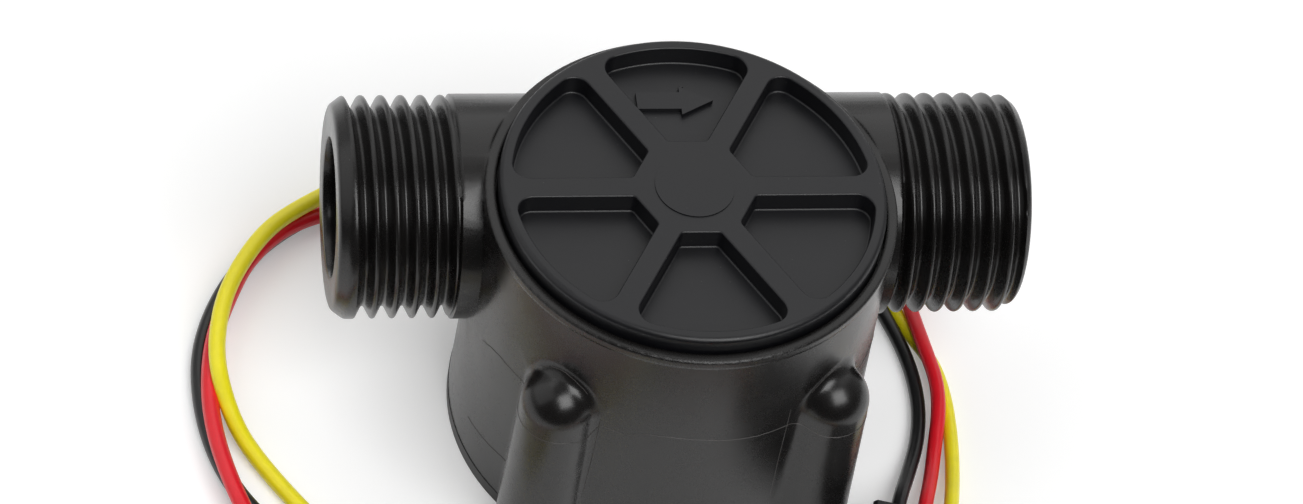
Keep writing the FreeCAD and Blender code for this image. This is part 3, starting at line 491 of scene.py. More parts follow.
def thread_radius(x, turn, crest_x, neck_x, end_x):
    """The threaded surface's radius: the thread, a fine groove at the neck and a lead at the mouth."""
    t = settings().thread
    side = 1 if end_x > neck_x else -1
    signed = (turn + math.pi) % TURN - math.pi
    threads_in = side * ((crest_x - x) / t.pitch + signed / TURN)
    groove = math.floor(threads_in)
    begun = 0.0 if groove < 0 else 1.0
    if groove == 0:
        begun = smooth((math.pi - side * signed) / START_TURN)
    from_neck, from_end = (x - neck_x) * side, (end_x - x) * side
    cut = begun * t.depth * form_depth(threads_in) / FORM_DEPTH
    radius = t.crest - cut * smooth(from_neck / RUN_OUT)
    if from_neck < NECK_GROOVE_W:
        across = math.pi * max(from_neck, 0.0) / NECK_GROOVE_W
        radius = min(radius, NECK_R - NECK_GROOVE * math.sin(across))
    lead = t.lead_ring + (t.crest - t.lead_ring) * eased_ramp(from_end / t.lead)
    edge = MOUTH_EDGE * (1 - math.sqrt(1 - (1 - min(from_end / MOUTH_EDGE, 1.0)) ** 2))
    return min(radius, lead) - edge


def open_loops(mesh, x, side):
    """Takes away what lies beyond x, and gives the two loops of points left open there."""
    whole = mesh.verts[:] + mesh.edges[:] + mesh.faces[:]
    bmesh.ops.bisect_plane(mesh, geom=whole, plane_co=(x, 0, 0), plane_no=(side, 0, 0),
                           clear_outer=True)
    at_x = [v for v in mesh.verts if abs(v.co.x - x) < 1e-6]
    edge = [v for v in at_x if any(e.is_boundary for e in v.link_edges)]
    middle = (max(map(pipe_radius, edge)) + min(map(pipe_radius, edge))) / 2
    return [v for v in edge if pipe_radius(v) > middle], [v for v in edge if pipe_radius(v) < middle]


def threaded_end(mesh, side, neck_x, end_x, crest_x):
    """Replaces a plain pipe end by a cut thread with its lead ring, mouth and port."""
    t = settings().thread
    cut_x = neck_x - side * NECK_JOIN
    outer_loop, inner_loop = open_loops(mesh, cut_x, side)
    throat_r = sum(map(pipe_radius, inner_loop)) / len(inner_loop)
    depth = abs(end_x - cut_x)
    count = math.ceil(depth / (t.pitch / RINGS_A_PITCH))
    rings = []
    for k in range(1, count + 1):
        x = cut_x + (end_x - cut_x) * k / count
        rings.append(new_ring(mesh, t.around, x,
                              lambda turn, x=x: thread_radius(x, turn, crest_x, neck_x, end_x)))
    mouth = [(0.0, MOUTH_FACE_R)] + [(inset, PORT_R + over) for inset, over in PORT_EDGE]
    insets = [depth * k / PORT_RINGS for k in range(1, PORT_RINGS)]
    bore = [(inset, PORT_R) for inset in insets if inset < PORT_DEPTH] + [(PORT_DEPTH, PORT_R)]
    for inset, radius in mouth + bore + [(depth - LAP, throat_r + LAP_LIFT)]:
        rings.append(new_ring(mesh, t.around, end_x - side * inset, lambda turn, radius=radius: radius))
    skin(mesh, rings)
    stitch(mesh, outer_loop, rings[0])
    stitch(mesh, rings[-1], inner_loop)


# ---- Pieces from meshes ----
SHARP = math.radians(35)


def cad_copy(node):
    """A bmesh of a node's solid, with the points that its faces share joined."""
    mesh = bmesh.new()
    mesh.from_mesh(nodes[node].data)
    bmesh.ops.remove_doubles(mesh, verts=mesh.verts, dist=1e-7)
    return mesh


def finished(name, mesh, material):
    """Turns a bmesh into a piece that is smooth but for its sharp edges."""
    bmesh.ops.recalc_face_normals(mesh, faces=mesh.faces)
    for face in mesh.faces:
        face.smooth = True
    for edge in mesh.edges:
        edge.smooth = len(edge.link_faces) == 2 and edge.calc_face_angle(0.0) < SHARP
    data = bpy.data.meshes.new(name)
    mesh.to_mesh(data)
    mesh.free()
    data.materials.append(material)
    piece = bpy.data.objects.new(name, data)
    bpy.context.scene.collection.objects.link(piece)
    return piece


def flat_kept(piece):
    """Keeps broad flat faces flat in the shading, next to their rounded edges."""
    weighted = piece.modifiers.new("flat faces", "WEIGHTED_NORMAL")
    weighted.keep_sharp = True
    weighted.weight = 80


# ---- Housing ----
def housing():
    """The solid's housing with both plain pipe ends replaced by threaded ones."""
    t = settings().thread
    mesh = cad_copy("meter_body")
    for name, side, end_x, crest_x in (("inlet_thread", -1, body_low.x, t.inlet_crest),
                                       ("outlet_thread", 1, body_high.x, t.outlet_crest)):
        mount = mounts[name]
        neck_x = mount["pos_m"][0] - side * mount["dims"]["length_mm"] * MM / 2
        threaded_end(mesh, side, neck_x, end_x, crest_x)
    piece = finished("housing", mesh, charcoal_housing())
    flat_kept(piece)
    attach(piece, "housing")
    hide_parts("meter_body")
    return piece


def ridge_along(mesh, places, width, height):
    """A low three-sided ridge along places, each a point on the surface and the way out of it."""
    lines = []
    for k, (at, out) in enumerate(places):
        before = places[max(k - 1, 0)][0]
        after = places[min(k + 1, len(places) - 1)][0]
        side = (after - before).cross(out).normalized() * width / 2
        sunk = at - out * height
        lines.append([mesh.verts.new(p) for p in (sunk - side, at + out * height, sunk + side)])
    for a, b in zip(lines, lines[1:]):
        for k in range(3):
            mesh.faces.new((a[k], a[(k + 1) % 3], b[(k + 1) % 3], b[k]))
    mesh.faces.new(lines[0])
    mesh.faces.new(lines[-1][::-1])


def wall_places(tree, path):
    """Places on the wall along a path of turns and heights, met by rays from outside."""
    places = []
    for (turn_a, z_a), (turn_b, z_b) in zip(path, path[1:]):
        count = math.ceil(max(abs(turn_b - turn_a), abs(z_b - z_a)) / LINE_STEP)
        for k in range(count):
            turn = math.radians(turn_a + (turn_b - turn_a) * k / count)
            way = Vector((math.cos(turn), math.sin(turn), 0))
            height = Vector((0, 0, (z_a + (z_b - z_a) * k / count) * MM))
            at, normal, _, _ = tree.ray_cast(height + way * RAY_START, -way)
            if at:
                places.append((at, normal))
    return places


# Where the mould left its lines: turn round the wall in degrees, height in mm.
LINE_STEP = 0.5                # degrees or mm from place to place
RAY_START = 30 * MM
RIDGE_SHAPE = 0.3              # height of a ridge, as a share of its width
FLASH_PAINTED_SHEEN = 8              # the flash's colour is this many times as light as the housing: a painted sheen along the ridges
PARTING = [(196.5, 16.8), (201.5, 17.7), (206, 18.15), (216, 18.25), (230, 18.1), (237, 18.0),
           (239.7, 17.2), (242, 18.8), (248.8, 18.7), (255, 19.4), (262, 19.5), (270, 19.3),
           (278, 18.96), (286, 18.75), (296.5, 18.8), (303, 18.2), (312, 18.2), (322, 18.3),
           (334, 18.2), (343.5, 17.2)]
FOOT_LINE = [(196.5, 5.5), (206.6, 6.0), (214, 6.4), (221, 6.5)]
DOME_LINES = [[(221.6, 22.3), (224.9, 23.2), (227.7, 23.5), (229.7, 23.55), (232.8, 23.3),
               (235.8, 22.8), (237.6, 22.3)],
              [(313.8, 23.3), (310.6, 23.55), (307.9, 23.45), (305.3, 23.1), (303.0, 22.6),
               (301.6, 22.1)]]
COLUMN_LINES = [[(295.9, 21.0), (295.2, 14.3), (294.9, 7.0), (294.8, 3.0)],
                [(242.0, 19.6), (241.9, 15.3), (241.6, 11.6), (241.4, 8.0)]]


def mould_lines(body):
    """The flash that the mould left on the front of the wall and on the screw columns, painted lighter
    than the housing as a sheen along its ridges.
    """
    marks = settings().marks
    data = body.data
    tree = BVHTree.FromPolygons([v.co for v in data.vertices], [p.vertices for p in data.polygons])
    mesh = bmesh.new()
    for path in [PARTING, FOOT_LINE] + DOME_LINES + COLUMN_LINES:
        ridge_along(mesh, wall_places(tree, path), marks.ridge, marks.ridge * RIDGE_SHAPE)
    # painted sheen: the ridges' colour is lifted to stand in for the highlight that they catch
    colour = [c * FLASH_PAINTED_SHEEN for c in settings().finish.housing]
    flash = plastic("flash_painted_sheen", colour, rough=(0.4, 0.55))
    piece = finished("mould_lines", mesh, flash)
    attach(piece, "housing")


class FLOWMETER_OT_housing(bpy.types.Operator):
    """Build the housing with cut threads on both pipe ends, and the marks that its mould left"""
    bl_idname = "flow_meter.housing"
    bl_label = "Housing"

    def execute(self, context):
        mould_lines(housing())
        return {"FINISHED"}


# ---- Cap, cover and screws ----
POCKET_FLOOR = 2.1 * MM        # the pockets' floors lie this far under the cap's top
PIN_MARK_T = 0.2 * MM
HEAD_R, SHANK_R, TIP_R = 2.4 * MM, 1.25 * MM, 0.25 * MM
HEAD_H, POINT_L = 1.1 * MM, 1.4 * MM
FACE_EDGE = 0.12 * MM
PLAIN_SHANK = 0.8 * MM
SCREW_PITCH, SCREW_CUT, SCREW_LEVEL = 0.9 * MM, 0.3 * MM, 0.09 * MM
CROSS_ARM, CROSS_HALF, CROSS_DEPTH, CROSS_TAPER = 1.3 * MM, 0.32 * MM, 0.75 * MM, 0.72


def ejector_mark():
    """The small raised pin mark beside the arrow, on the rear pocket's floor."""
    marks = settings().marks
    mesh = bmesh.new()
    at = Matrix.Translation((*marks.pin_place, cap_top_z - POCKET_FLOOR))
    bmesh.ops.create_cone(mesh, cap_ends=True, segments=32, radius1=marks.pin_mark,
                          radius2=marks.pin_mark * 0.8, depth=PIN_MARK_T, matrix=at)
    piece = finished("ejector_mark", mesh, charcoal_cap())
    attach(piece, "housing")


def screw_profile():
    """Radius against height of a countersunk screw: head, shank and point."""
    low, high = screw_low.z, screw_high.z
    return [(low, HEAD_R * 0.97), (low + FACE_EDGE, HEAD_R), (low + HEAD_H, SHANK_R),
            (high - POINT_L, SHANK_R), (high, TIP_R)]


def cover_screws():
    """Four countersunk screws with a cross recess and a coarse thread."""
    mesh = bmesh.new()
    out_x = (screw_high.x - screw_low.x) / 2 - HEAD_R
    out_y = (screw_high.y - screw_low.y) / 2 - HEAD_R
    for side in (-1, 1):
        for end in (-1, 1):
            one_screw(mesh, Vector((side * out_x, end * out_y, 0)))
    piece = finished("cover_screw_set", mesh, metal("zinc_plated", (0.62, 0.63, 0.64)))
    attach(piece, "housing")
    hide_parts("cover_screws")


def one_screw(mesh, foot):
    """A screw whose head's face is at the lowest level, over the given foot."""
    around = 40
    profile = screw_profile()
    low, high = profile[0][0], profile[-1][0]
    thread_low = profile[2][0] + PLAIN_SHANK
    levels = [low, low + FACE_EDGE]
    while levels[-1] < high - SCREW_LEVEL / 2:
        levels.append(min(levels[-1] + SCREW_LEVEL, high))
    rings = []
    for z in levels:
        base = next(r0 + (r1 - r0) * (z - z0) / (z1 - z0)
                    for (z0, r0), (z1, r1) in zip(profile, profile[1:]) if z <= z1 + 1e-9)
        ring = []
        for k in range(around):
            turn = TURN * k / around
            phase = (z / SCREW_PITCH - k / around) % 1.0
            form = smooth(min(phase, 1 - phase) * 2.6)
            cut = SCREW_CUT * form * smooth((z - thread_low) / SCREW_PITCH)
            radius = max(base - cut, 0.2 * MM)
            out = Vector((radius * math.cos(turn), radius * math.sin(turn), z))
            ring.append(mesh.verts.new(foot + out))
        rings.append(ring)
    skin(mesh, rings)
    mesh.faces.new(rings[-1])
    cross_recess(mesh, rings[0], foot, low)


def cross_recess(mesh, rim, foot, low):
    """The head's face with a tapering cross cut into it."""
    arm, half = CROSS_ARM, CROSS_HALF
    outline = [(arm, -half), (arm, half), (half, half), (half, arm), (-half, arm), (-half, half),
               (-arm, half), (-arm, -half), (-half, -half), (-half, -arm), (half, -arm), (half, -half)]
    top = [mesh.verts.new(foot + Vector((x, y, low))) for x, y in outline]
    bottom = [mesh.verts.new(foot + Vector((x * CROSS_TAPER, y * CROSS_TAPER, low + CROSS_DEPTH)))
              for x, y in outline]
    skin(mesh, [top, bottom])
    mesh.faces.new(bottom)
    edges = [mesh.edges.get((loop[k - 1], loop[k])) for loop in (top, rim) for k in range(len(loop))]
    bmesh.ops.triangle_fill(mesh, edges=edges, use_beauty=True)


class FLOWMETER_OT_cap(bpy.types.Operator):
    """Finish the cap, with the pin mark in its rear pocket, and the seal under it"""
    bl_idname = "flow_meter.cap"
    bl_label = "Cap"

    def execute(self, context):
        dress(charcoal_cap(), "top_cap")
        dress(plastic("seal_rubber", (0.012, 0.012, 0.012), rough=(0.5, 0.65)), "cap_seal")
        ejector_mark()
        return {"FINISHED"}


class FLOWMETER_OT_cover(bpy.types.Operator):
    """Finish the bottom cover and build its four screws"""
    bl_idname = "flow_meter.cover"
    bl_label = "Cover and Screws"

    def execute(self, context):
        dress(charcoal_cover(), "bottom_cover")
        cover_screws()
        return {"FINISHED"}


# ---- Rotor and sensor ----
class FLOWMETER_OT_rotor(bpy.types.Operator):
    """Finish the rotor, its magnet, bushes, washers and pin"""
    bl_idname = "flow_meter.rotor"
    bl_label = "Rotor"

    def execute(self, context):
        dress(plastic("acetal_white", (0.72, 0.72, 0.69), spread=0.05, edge=0.08 * MM), "rotor")
        dress(plastic("ferrite", (0.035, 0.034, 0.036), rough=(0.45, 0.6), grain=0.06 * MM),
              "ring_magnet")
        dress(plastic("bearing_plastic", (0.5, 0.44, 0.3), rough=(0.3, 0.42), spread=0.08),
              "lower_bush", "upper_bush")
        dress(plastic("slip_washer", (0.78, 0.78, 0.75), rough=(0.36, 0.5), spread=0.04),
              "lower_washer", "upper_washer")
        dress(metal("ground_stainless", (0.6, 0.59, 0.58)), "axle_pin")
        return {"FINISHED"}


class FLOWMETER_OT_sensor(bpy.types.Operator):
    """Finish the sensor's board, its chips and the compound that seals them"""
    bl_idname = "flow_meter.sensor"
    bl_label = "Sensor"

    def execute(self, context):
        dress(circuit_board(), "sensor_board")
        dress(plastic("moulded_chip", (0.014, 0.014, 0.015), rough=(0.4, 0.55), grain=0.05 * MM),
              "hall_sensor")
        dress(plastic("ceramic_chip", (0.2, 0.13, 0.08), rough=(0.35, 0.5), grain=0.05 * MM),
              "board_chips")
        dress(plastic("sealing_compound", (0.01, 0.01, 0.01), rough=(0.12, 0.25), flow=4 * MM),
              "potting")
        dress(plastic("grommet_rubber", (0.014, 0.014, 0.014), rough=(0.5, 0.66), edge=0.1 * MM),
              "wire_grommet")
        return {"FINISHED"}


# ---- Wires and connector, on the routes that the solids follow ----
PLUG_AT = Vector((0.0230, -0.0171, 0.0029))
PLUG_HEADING = math.radians(-106.3)
PLUG_PITCH = 0.0025
SOCKET_REAR, WIRE_ENTRY = 0.0200, 0.0015
EXIT_X, EXIT_Z, EXIT_PITCH = 0.0040, 0.0029, 0.0019
WIRE_LOW, LEAD_LOW = 0.00072, 0.00082      # height of a wire that lies on the floor
STRANDS, STRAND_POINTS, STRAND_TURNS = 6, 20, 0.9
TIP_L, TIP_ENTRY = 5.0 * MM, 0.3 * MM


def in_plug(along, lane):
    """A point of the connector: along it from the plug's rear face, in one of its three lanes."""
    axis = Vector((math.cos(PLUG_HEADING), math.sin(PLUG_HEADING), 0))
    side = Vector((-axis.y, axis.x, 0))
    return PLUG_AT + axis * along + side * lane * PLUG_PITCH


def sensor_wire(exit_lane, plug_lane, middle):
    """Route of a thin wire, from the board down through the grommet and on to the plug."""
    x = EXIT_X + exit_lane * EXIT_PITCH
    start = [(x, 0.0086, 0.0095), (x, 0.0086, 0.00685), (x, 0.00995, 0.0043), (x, 0.0123, 0.00294),
             (x, 0.0166, 0.0029)]
    end = [in_plug(-0.0022, plug_lane), in_plug(WIRE_ENTRY, plug_lane)]
    return [Vector(p) for p in start + middle] + end


def lead(lane, middle):
    """Route of a lead, from the socket round the front and up behind the inlet."""
    start = [in_plug(SOCKET_REAR - WIRE_ENTRY, lane), in_plug(SOCKET_REAR + 0.0036, lane)]
    return start + [Vector(p) for p in middle]


BLACK_WIRE = sensor_wire(1, -1, [
    (0.0059, 0.0209, 0.00285), (0.0079, 0.0246, 0.0017), (0.0122, 0.0266, WIRE_LOW),
    (0.0170, 0.0250, WIRE_LOW), (0.0204, 0.0208, WIRE_LOW), (0.0222, 0.0154, WIRE_LOW),
    (0.0236, 0.0100, WIRE_LOW), (0.0248, 0.0062, WIRE_LOW), (0.0255, 0.0022, WIRE_LOW),
    (0.0255, -0.0019, WIRE_LOW), (0.0247, -0.0058, WIRE_LOW), (0.0232, -0.0096, 0.0011),
])
YELLOW_WIRE = sensor_wire(0, 1, [
    (0.0040, 0.0212, 0.00285), (0.0059, 0.0258, 0.0017), (0.0106, 0.0288, WIRE_LOW),
    (0.0164, 0.0280, WIRE_LOW), (0.0208, 0.0236, WIRE_LOW), (0.0231, 0.0172, WIRE_LOW),
    (0.0243, 0.0116, WIRE_LOW), (0.0259, 0.0072, WIRE_LOW), (0.0277, 0.0036, WIRE_LOW),
    (0.0282, -0.0004, WIRE_LOW), (0.0281, -0.0048, WIRE_LOW), (0.0274, -0.0100, 0.0012),
])
RED_WIRE = sensor_wire(-1, 0, [
    (0.0021, 0.0214, 0.00285), (0.0039, 0.0266, 0.0017), (0.0090, 0.0308, WIRE_LOW),
    (0.0158, 0.0304, WIRE_LOW), (0.0214, 0.0262, WIRE_LOW), (0.0246, 0.0205, WIRE_LOW),
    (0.0258, 0.0152, WIRE_LOW), (0.0260, 0.0112, 0.0016), (0.0263, 0.0074, 0.0021),
    (0.0268, 0.0038, 0.0022), (0.0273, 0.0002, 0.0022), (0.0270, -0.0032, 0.0019),
    (0.0262, -0.0066, 0.0009), (0.0252, -0.0104, 0.0014),
])
BLACK_LEAD = lead(-1, [
    (0.0102, -0.0426, 0.0014), (0.0048, -0.0444, LEAD_LOW), (-0.0010, -0.0444, LEAD_LOW),
    (-0.0070, -0.0432, LEAD_LOW), (-0.0130, -0.0406, LEAD_LOW), (-0.0186, -0.0363, LEAD_LOW),
    (-0.0236, -0.0308, LEAD_LOW), (-0.0280, -0.0250, LEAD_LOW), (-0.0318, -0.0198, LEAD_LOW),
    (-0.0352, -0.0154, LEAD_LOW), (-0.0383, -0.0118, LEAD_LOW), (-0.0404, -0.0078, LEAD_LOW),
    (-0.0416, -0.0036, LEAD_LOW), (-0.04215, 0.0010, LEAD_LOW), (-0.0420, 0.0056, LEAD_LOW),
    (-0.0408, 0.0100, LEAD_LOW), (-0.0388, 0.0142, LEAD_LOW), (-0.0360, 0.0180, LEAD_LOW),
    (-0.0326, 0.0210, LEAD_LOW), (-0.0286, 0.0232, LEAD_LOW), (-0.0240, 0.0247, LEAD_LOW),
    (-0.0192, 0.0253, LEAD_LOW), (-0.0144, 0.0250, LEAD_LOW), (-0.0096, 0.0258, LEAD_LOW),
])
RED_LEAD = lead(0, [
    (0.0130, -0.0440, 0.0015), (0.0076, -0.0468, LEAD_LOW), (0.0012, -0.0472, LEAD_LOW),
    (-0.0054, -0.0460, LEAD_LOW), (-0.0122, -0.0434, LEAD_LOW), (-0.0188, -0.0392, LEAD_LOW),
    (-0.0246, -0.0338, LEAD_LOW), (-0.0296, -0.0280, LEAD_LOW), (-0.0337, -0.0222, LEAD_LOW),
    (-0.0370, -0.0170, 0.0011), (-0.0391, -0.0126, 0.00235), (-0.0403, -0.0086, 0.0025),
    (-0.0411, -0.0046, 0.00245), (-0.0414, -0.0004, 0.00235), (-0.0411, 0.0042, 0.00215),
    (-0.0402, 0.0082, 0.00205), (-0.0387, 0.0122, 0.00205), (-0.0370, 0.0158, 0.0021),
    (-0.0339, 0.0194, 0.0020), (-0.0300, 0.0218, 0.0016), (-0.0258, 0.0230, LEAD_LOW),
    (-0.0212, 0.0234, LEAD_LOW), (-0.0162, 0.0226, LEAD_LOW), (-0.0110, 0.0224, LEAD_LOW),
    (-0.0064, 0.0232, LEAD_LOW),
])
YELLOW_LEAD = lead(1, [
    (0.0156, -0.0456, 0.0015), (0.0102, -0.0488, LEAD_LOW), (0.0038, -0.0496, LEAD_LOW),
    (-0.0024, -0.0486, 0.0011), (-0.0080, -0.0462, 0.0026), (-0.0128, -0.0422, 0.0026),
    (-0.0168, -0.0372, 0.0026), (-0.0198, -0.0318, 0.0010), (-0.0228, -0.0264, LEAD_LOW),
    (-0.0264, -0.0212, LEAD_LOW), (-0.0304, -0.0163, LEAD_LOW), (-0.0341, -0.0113, LEAD_LOW),
    (-0.0369, -0.0070, LEAD_LOW), (-0.0388, -0.0038, 0.0014), (-0.0400, -0.0008, 0.0028),
    (-0.0406, 0.0026, 0.00365), (-0.0404, 0.0062, 0.0037), (-0.0395, 0.0104, 0.0037),
    (-0.0376, 0.0146, 0.0037), (-0.0348, 0.0187, 0.0037), (-0.0311, 0.0217, 0.0034),
    (-0.0274, 0.0243, 0.0028), (-0.0232, 0.0270, 0.0017), (-0.0184, 0.0284, LEAD_LOW),
    (-0.0136, 0.0280, LEAD_LOW), (-0.0088, 0.0286, LEAD_LOW),
])


def cord_curve(name, points, diameter, material):
    """A round cord along a smooth spline that has the points as its control points."""
    data = bpy.data.curves.new(name, "CURVE")
    data.dimensions = "3D"
    data.bevel_depth = diameter / 2
    data.bevel_resolution = 8
    data.use_fill_caps = True
    data.resolution_u = 10
    spline = data.splines.new("NURBS")
    spline.points.add(len(points) - 1)
    for held, point in zip(spline.points, points):
        held.co = (*point, 1.0)
    spline.order_u = 3
    spline.use_endpoint_u = True
    spline.use_smooth = True
    data.materials.append(material)
    piece = bpy.data.objects.new(name, data)
    bpy.context.scene.collection.objects.link(piece)
    return piece


def sensor_wires():
    """The three thin wires from the board to the plug."""
    wires, finish = settings().wires, settings().finish
    routes = (("black", BLACK_WIRE, finish.black, 0.076), ("red", RED_WIRE, finish.red, 0.0895),
              ("yellow", YELLOW_WIRE, finish.yellow, 0.0837))
    for colour, route, paint, length in routes:
        piece = cord_curve(f"{colour}_sensor_wire", route, wires.pigtail,
                           insulation(f"{colour}_insulation_thin", paint))
        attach(piece, "housing")
        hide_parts(f"{colour}_wire")


def leads():
    """The three leads behind the connector, with their bare tips."""
    wires, finish = settings().wires, settings().finish
    routes = (("black", BLACK_LEAD, finish.black, -1, 0.1345), ("red", RED_LEAD, finish.red, 0, 0.1404),
              ("yellow", YELLOW_LEAD, finish.yellow, 1, 0.1421))
    tips = tinned_tips([route for _, route, _, _, _ in routes])
    for colour, route, paint, lane, length in routes:
        piece = cord_curve(f"{colour}_lead_wire", route, wires.lead,
                           insulation(f"{colour}_insulation", paint))
        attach(piece, "housing")
        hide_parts(f"{colour}_lead")


def tinned_tips(routes):
    """Six tinned strands twisted round a seventh, at the end of each lead."""
    strand = settings().wires.strand
    data = bpy.data.curves.new("tinned_tips", "CURVE")
    data.dimensions = "3D"
    data.bevel_depth = strand / 2
    data.bevel_resolution = 3
    data.use_fill_caps = True
    for route in routes:
        way = (route[-1] - route[-2]).normalized()
        side = way.cross(Vector((0, 0, 1))).normalized()
        up = side.cross(way)
        for k in range(STRANDS + 1):
            off = 0.0 if k == STRANDS else strand * 0.98
            spline = data.splines.new("POLY")
            spline.points.add(STRAND_POINTS)
            for n, held in enumerate(spline.points):
                turn = TURN * (k / STRANDS + n / STRAND_POINTS * STRAND_TURNS)
                at = route[-1] + way * (TIP_L * n / STRAND_POINTS - TIP_ENTRY)
                at += (side * math.cos(turn) + up * math.sin(turn)) * off
                held.co = (*at, 1.0)
            spline.use_smooth = True
    data.materials.append(metal("tinned_copper", (0.72, 0.7, 0.66), rough=(0.2, 0.35)))
    piece = bpy.data.objects.new("tinned_tips", data)
    bpy.context.scene.collection.objects.link(piece)
    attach(piece, "housing")
    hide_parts("lead_tips")
    return piece


class FLOWMETER_OT_wires(bpy.types.Operator):
    """Build the sensor's three wires and the three leads with their bare tips"""
    bl_idname = "flow_meter.wires"
    bl_label = "Wires"

    def execute(self, context):
        sensor_wires()
        leads()
        return {"FINISHED"}


class FLOWMETER_OT_connector(bpy.types.Operator):
    """Finish the in-line connector's two housings and their terminals"""
    bl_idname = "flow_meter.connector"
    bl_label = "Connector"

    def execute(self, context):
        dress(plastic("connector_nylon", (0.018, 0.018, 0.019), rough=(0.32, 0.45), edge=0.15 * MM),
              "plug_housing", "socket_housing")
        dress(metal("tin_plate", (0.7, 0.69, 0.66)), "plug_terminals", "socket_terminals")
        return {"FINISHED"}


# ---- Stage ----
FLOOR_SIZE = 8.0
FLOOR_FRONT_Y = -62 * MM
FLOOR_GAP = 0.05 * MM          # the floor lies this far under the resting face
LAMP_AIM = Vector((0, 0, 15 * MM))
KEY_AT, KEY_AWAY, KEY_SIZE = (0.23, -0.57, 0.79), 0.9, 0.6
SKY_AT, SKY_AWAY, SKY_SIZE = (0.15, 0.62, 0.77), 1.2, 1.5
SIDE_AT, SIDE_AWAY, SIDE_SIZE = (-0.74, 0.05, 0.67), 0.9, 1.0
ROOM_DARK_Y, ROOM_LIGHT_Y = -0.35, 0.6     # the room's light grows between these, front to back


def floor():
    """A plain pale floor that ends in front of the meter, as a table does."""
    stage = settings().stage
    middle = (0, FLOOR_SIZE / 2 + FLOOR_FRONT_Y, -FLOOR_GAP)
    bpy.ops.mesh.primitive_plane_add(size=FLOOR_SIZE, location=middle)
    ground = bpy.context.object
    ground.name = "floor"
    material, tree, shader = new_material("pale_floor")
    shader.inputs["Base Color"].default_value = (stage.floor, stage.floor, stage.floor, 1.0)
    shader.inputs["Roughness"].default_value = 0.7
    shader.inputs["Specular IOR Level"].default_value = 0.2
    path = add(tree, "ShaderNodeLightPath").outputs
    seen = maths(tree, "MAXIMUM", path["Is Camera Ray"], path["Is Glossy Ray"])
    seen = maths(tree, "MAXIMUM", seen, path["Is Transmission Ray"])
    shader.inputs["Emission Color"].default_value = (1.0, 1.0, 1.0, 1.0)
    tree.links.new(maths(tree, "MULTIPLY", seen, stage.floor_glow), shader.inputs["Emission Strength"])
    ground.data.materials.append(material)


def lamp(name, power, direction, distance, size):
    """A square soft lamp in the given direction, turned to the meter."""
    data = bpy.data.lights.new(name, "AREA")
    data.energy = power
    data.shape = "SQUARE"
    data.size = size
    piece = bpy.data.objects.new(name, data)
    way = Vector(direction).normalized()
    piece.location = LAMP_AIM + way * distance
    piece.rotation_euler = way.to_track_quat("Z", "Y").to_euler()
    bpy.context.scene.collection.objects.link(piece)


def camera():
    """The camera, set by where it stands round the point that it looks at."""
    stage = settings().stage
    cos_e = math.cos(stage.elevation)
    back = Vector((math.sin(stage.azimuth) * cos_e, -math.cos(stage.azimuth) * cos_e,
                   math.sin(stage.elevation)))
    level = Vector((0, 0, 1)).cross(back).normalized()
    above = back.cross(level)
    right = level * math.cos(stage.roll) + above * math.sin(stage.roll)
    up = above * math.cos(stage.roll) - level * math.sin(stage.roll)
    data = bpy.data.cameras.new("camera")
    data.sensor_width = 36.0
    data.lens = stage.lens
    data.clip_start = 0.01
    piece = bpy.data.objects.new("camera", data)
    turned = Matrix((right, up, back)).transposed().to_4x4()
    piece.matrix_world = Matrix.Translation(Vector(stage.target) + back * stage.distance) @ turned
    bpy.context.scene.collection.objects.link(piece)
    bpy.context.scene.camera = piece


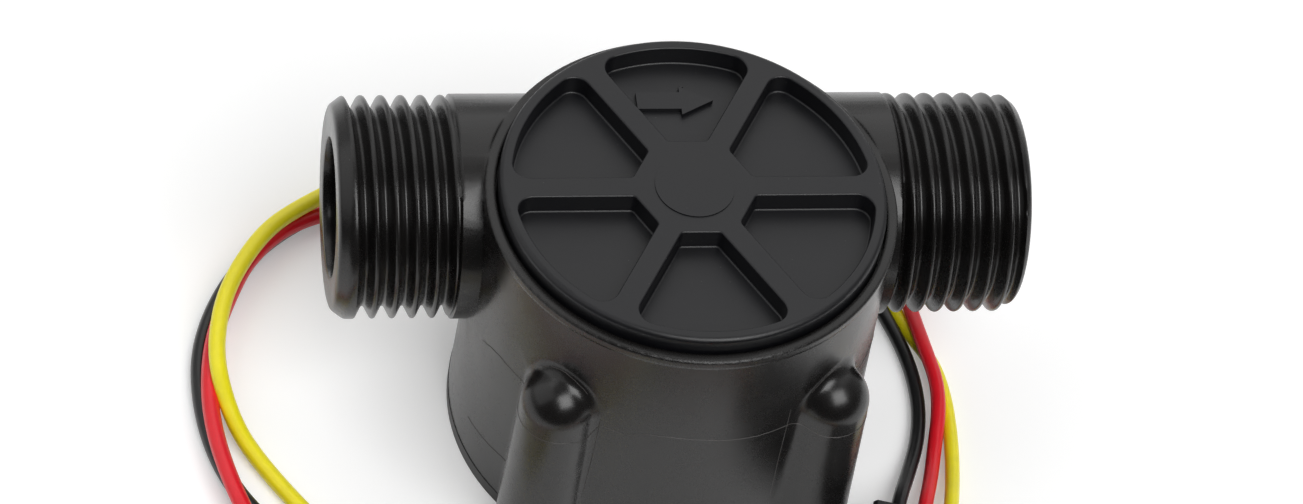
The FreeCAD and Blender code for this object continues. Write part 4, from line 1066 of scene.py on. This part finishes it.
def world():
    """Soft grey light from behind the meter, dark behind the camera, and white as a background."""
    stage = settings().stage
    light = bpy.data.worlds.new("studio")
    light.use_nodes = True
    tree = light.node_tree
    coords = add(tree, "ShaderNodeTexCoord")
    split = add(tree, "ShaderNodeSeparateXYZ")
    tree.links.new(coords.outputs["Generated"], split.inputs[0])
    strength = remapped(tree, split.outputs["Y"], ROOM_DARK_Y, ROOM_LIGHT_Y,
                        stage.world_front, stage.world)
    white = maths(tree, "MAXIMUM", strength, add(tree, "ShaderNodeLightPath").outputs["Is Camera Ray"])
    tree.links.new(white, tree.nodes["Background"].inputs["Strength"])
    tree.nodes["Background"].inputs["Color"].default_value = (1.0, 1.0, 1.0, 1.0)
    bpy.context.scene.world = light


class FLOWMETER_OT_stage(bpy.types.Operator):
    """Set out the pale floor, the soft lamps and the camera"""
    bl_idname = "flow_meter.stage"
    bl_label = "Stage"

    def execute(self, context):
        stage = settings().stage
        floor()
        world()
        lamp("key_lamp", stage.key, KEY_AT, KEY_AWAY, KEY_SIZE)
        lamp("sky_lamp", stage.sky, SKY_AT, SKY_AWAY, SKY_SIZE)
        lamp("side_lamp", stage.side, SIDE_AT, SIDE_AWAY, SIDE_SIZE)
        camera()
        context.scene.view_settings.view_transform = "Standard"
        return {"FINISHED"}


# ---- Panel and registration ----
OPERATORS = (FLOWMETER_OT_stage, FLOWMETER_OT_housing, FLOWMETER_OT_cap, FLOWMETER_OT_cover,
             FLOWMETER_OT_rotor, FLOWMETER_OT_sensor, FLOWMETER_OT_connector, FLOWMETER_OT_wires)


class FLOWMETER_PT_panel(bpy.types.Panel):
    bl_label = "Flow Meter"
    bl_idname = "FLOWMETER_PT_panel"
    bl_space_type = "VIEW_3D"
    bl_region_type = "UI"
    bl_category = "Flow Meter"

    def draw(self, context):
        for operator in OPERATORS:
            self.layout.operator(operator.bl_idname)
        held = context.scene.flow_meter
        for name in ("thread", "marks", "finish", "wires", "stage"):
            box = self.layout.box()
            box.label(text=name.title())
            part = getattr(held, name)
            for key in part.__annotations__:
                box.prop(part, key)


CLASSES = (FlowMeterThread, FlowMeterMarks, FlowMeterFinish, FlowMeterWires, FlowMeterStage,
           FlowMeterSettings, *OPERATORS, FLOWMETER_PT_panel)


def register():
    for made in CLASSES:
        bpy.utils.register_class(made)
    bpy.types.Scene.flow_meter = PointerProperty(type=FlowMeterSettings)


def unregister():
    del bpy.types.Scene.flow_meter
    for made in reversed(CLASSES):
        bpy.utils.unregister_class(made)


def main():
    register()
    for operator in OPERATORS:
        section, name = operator.bl_idname.split(".")
        getattr(getattr(bpy.ops, section), name)()


if __name__ == "__main__":
    main()
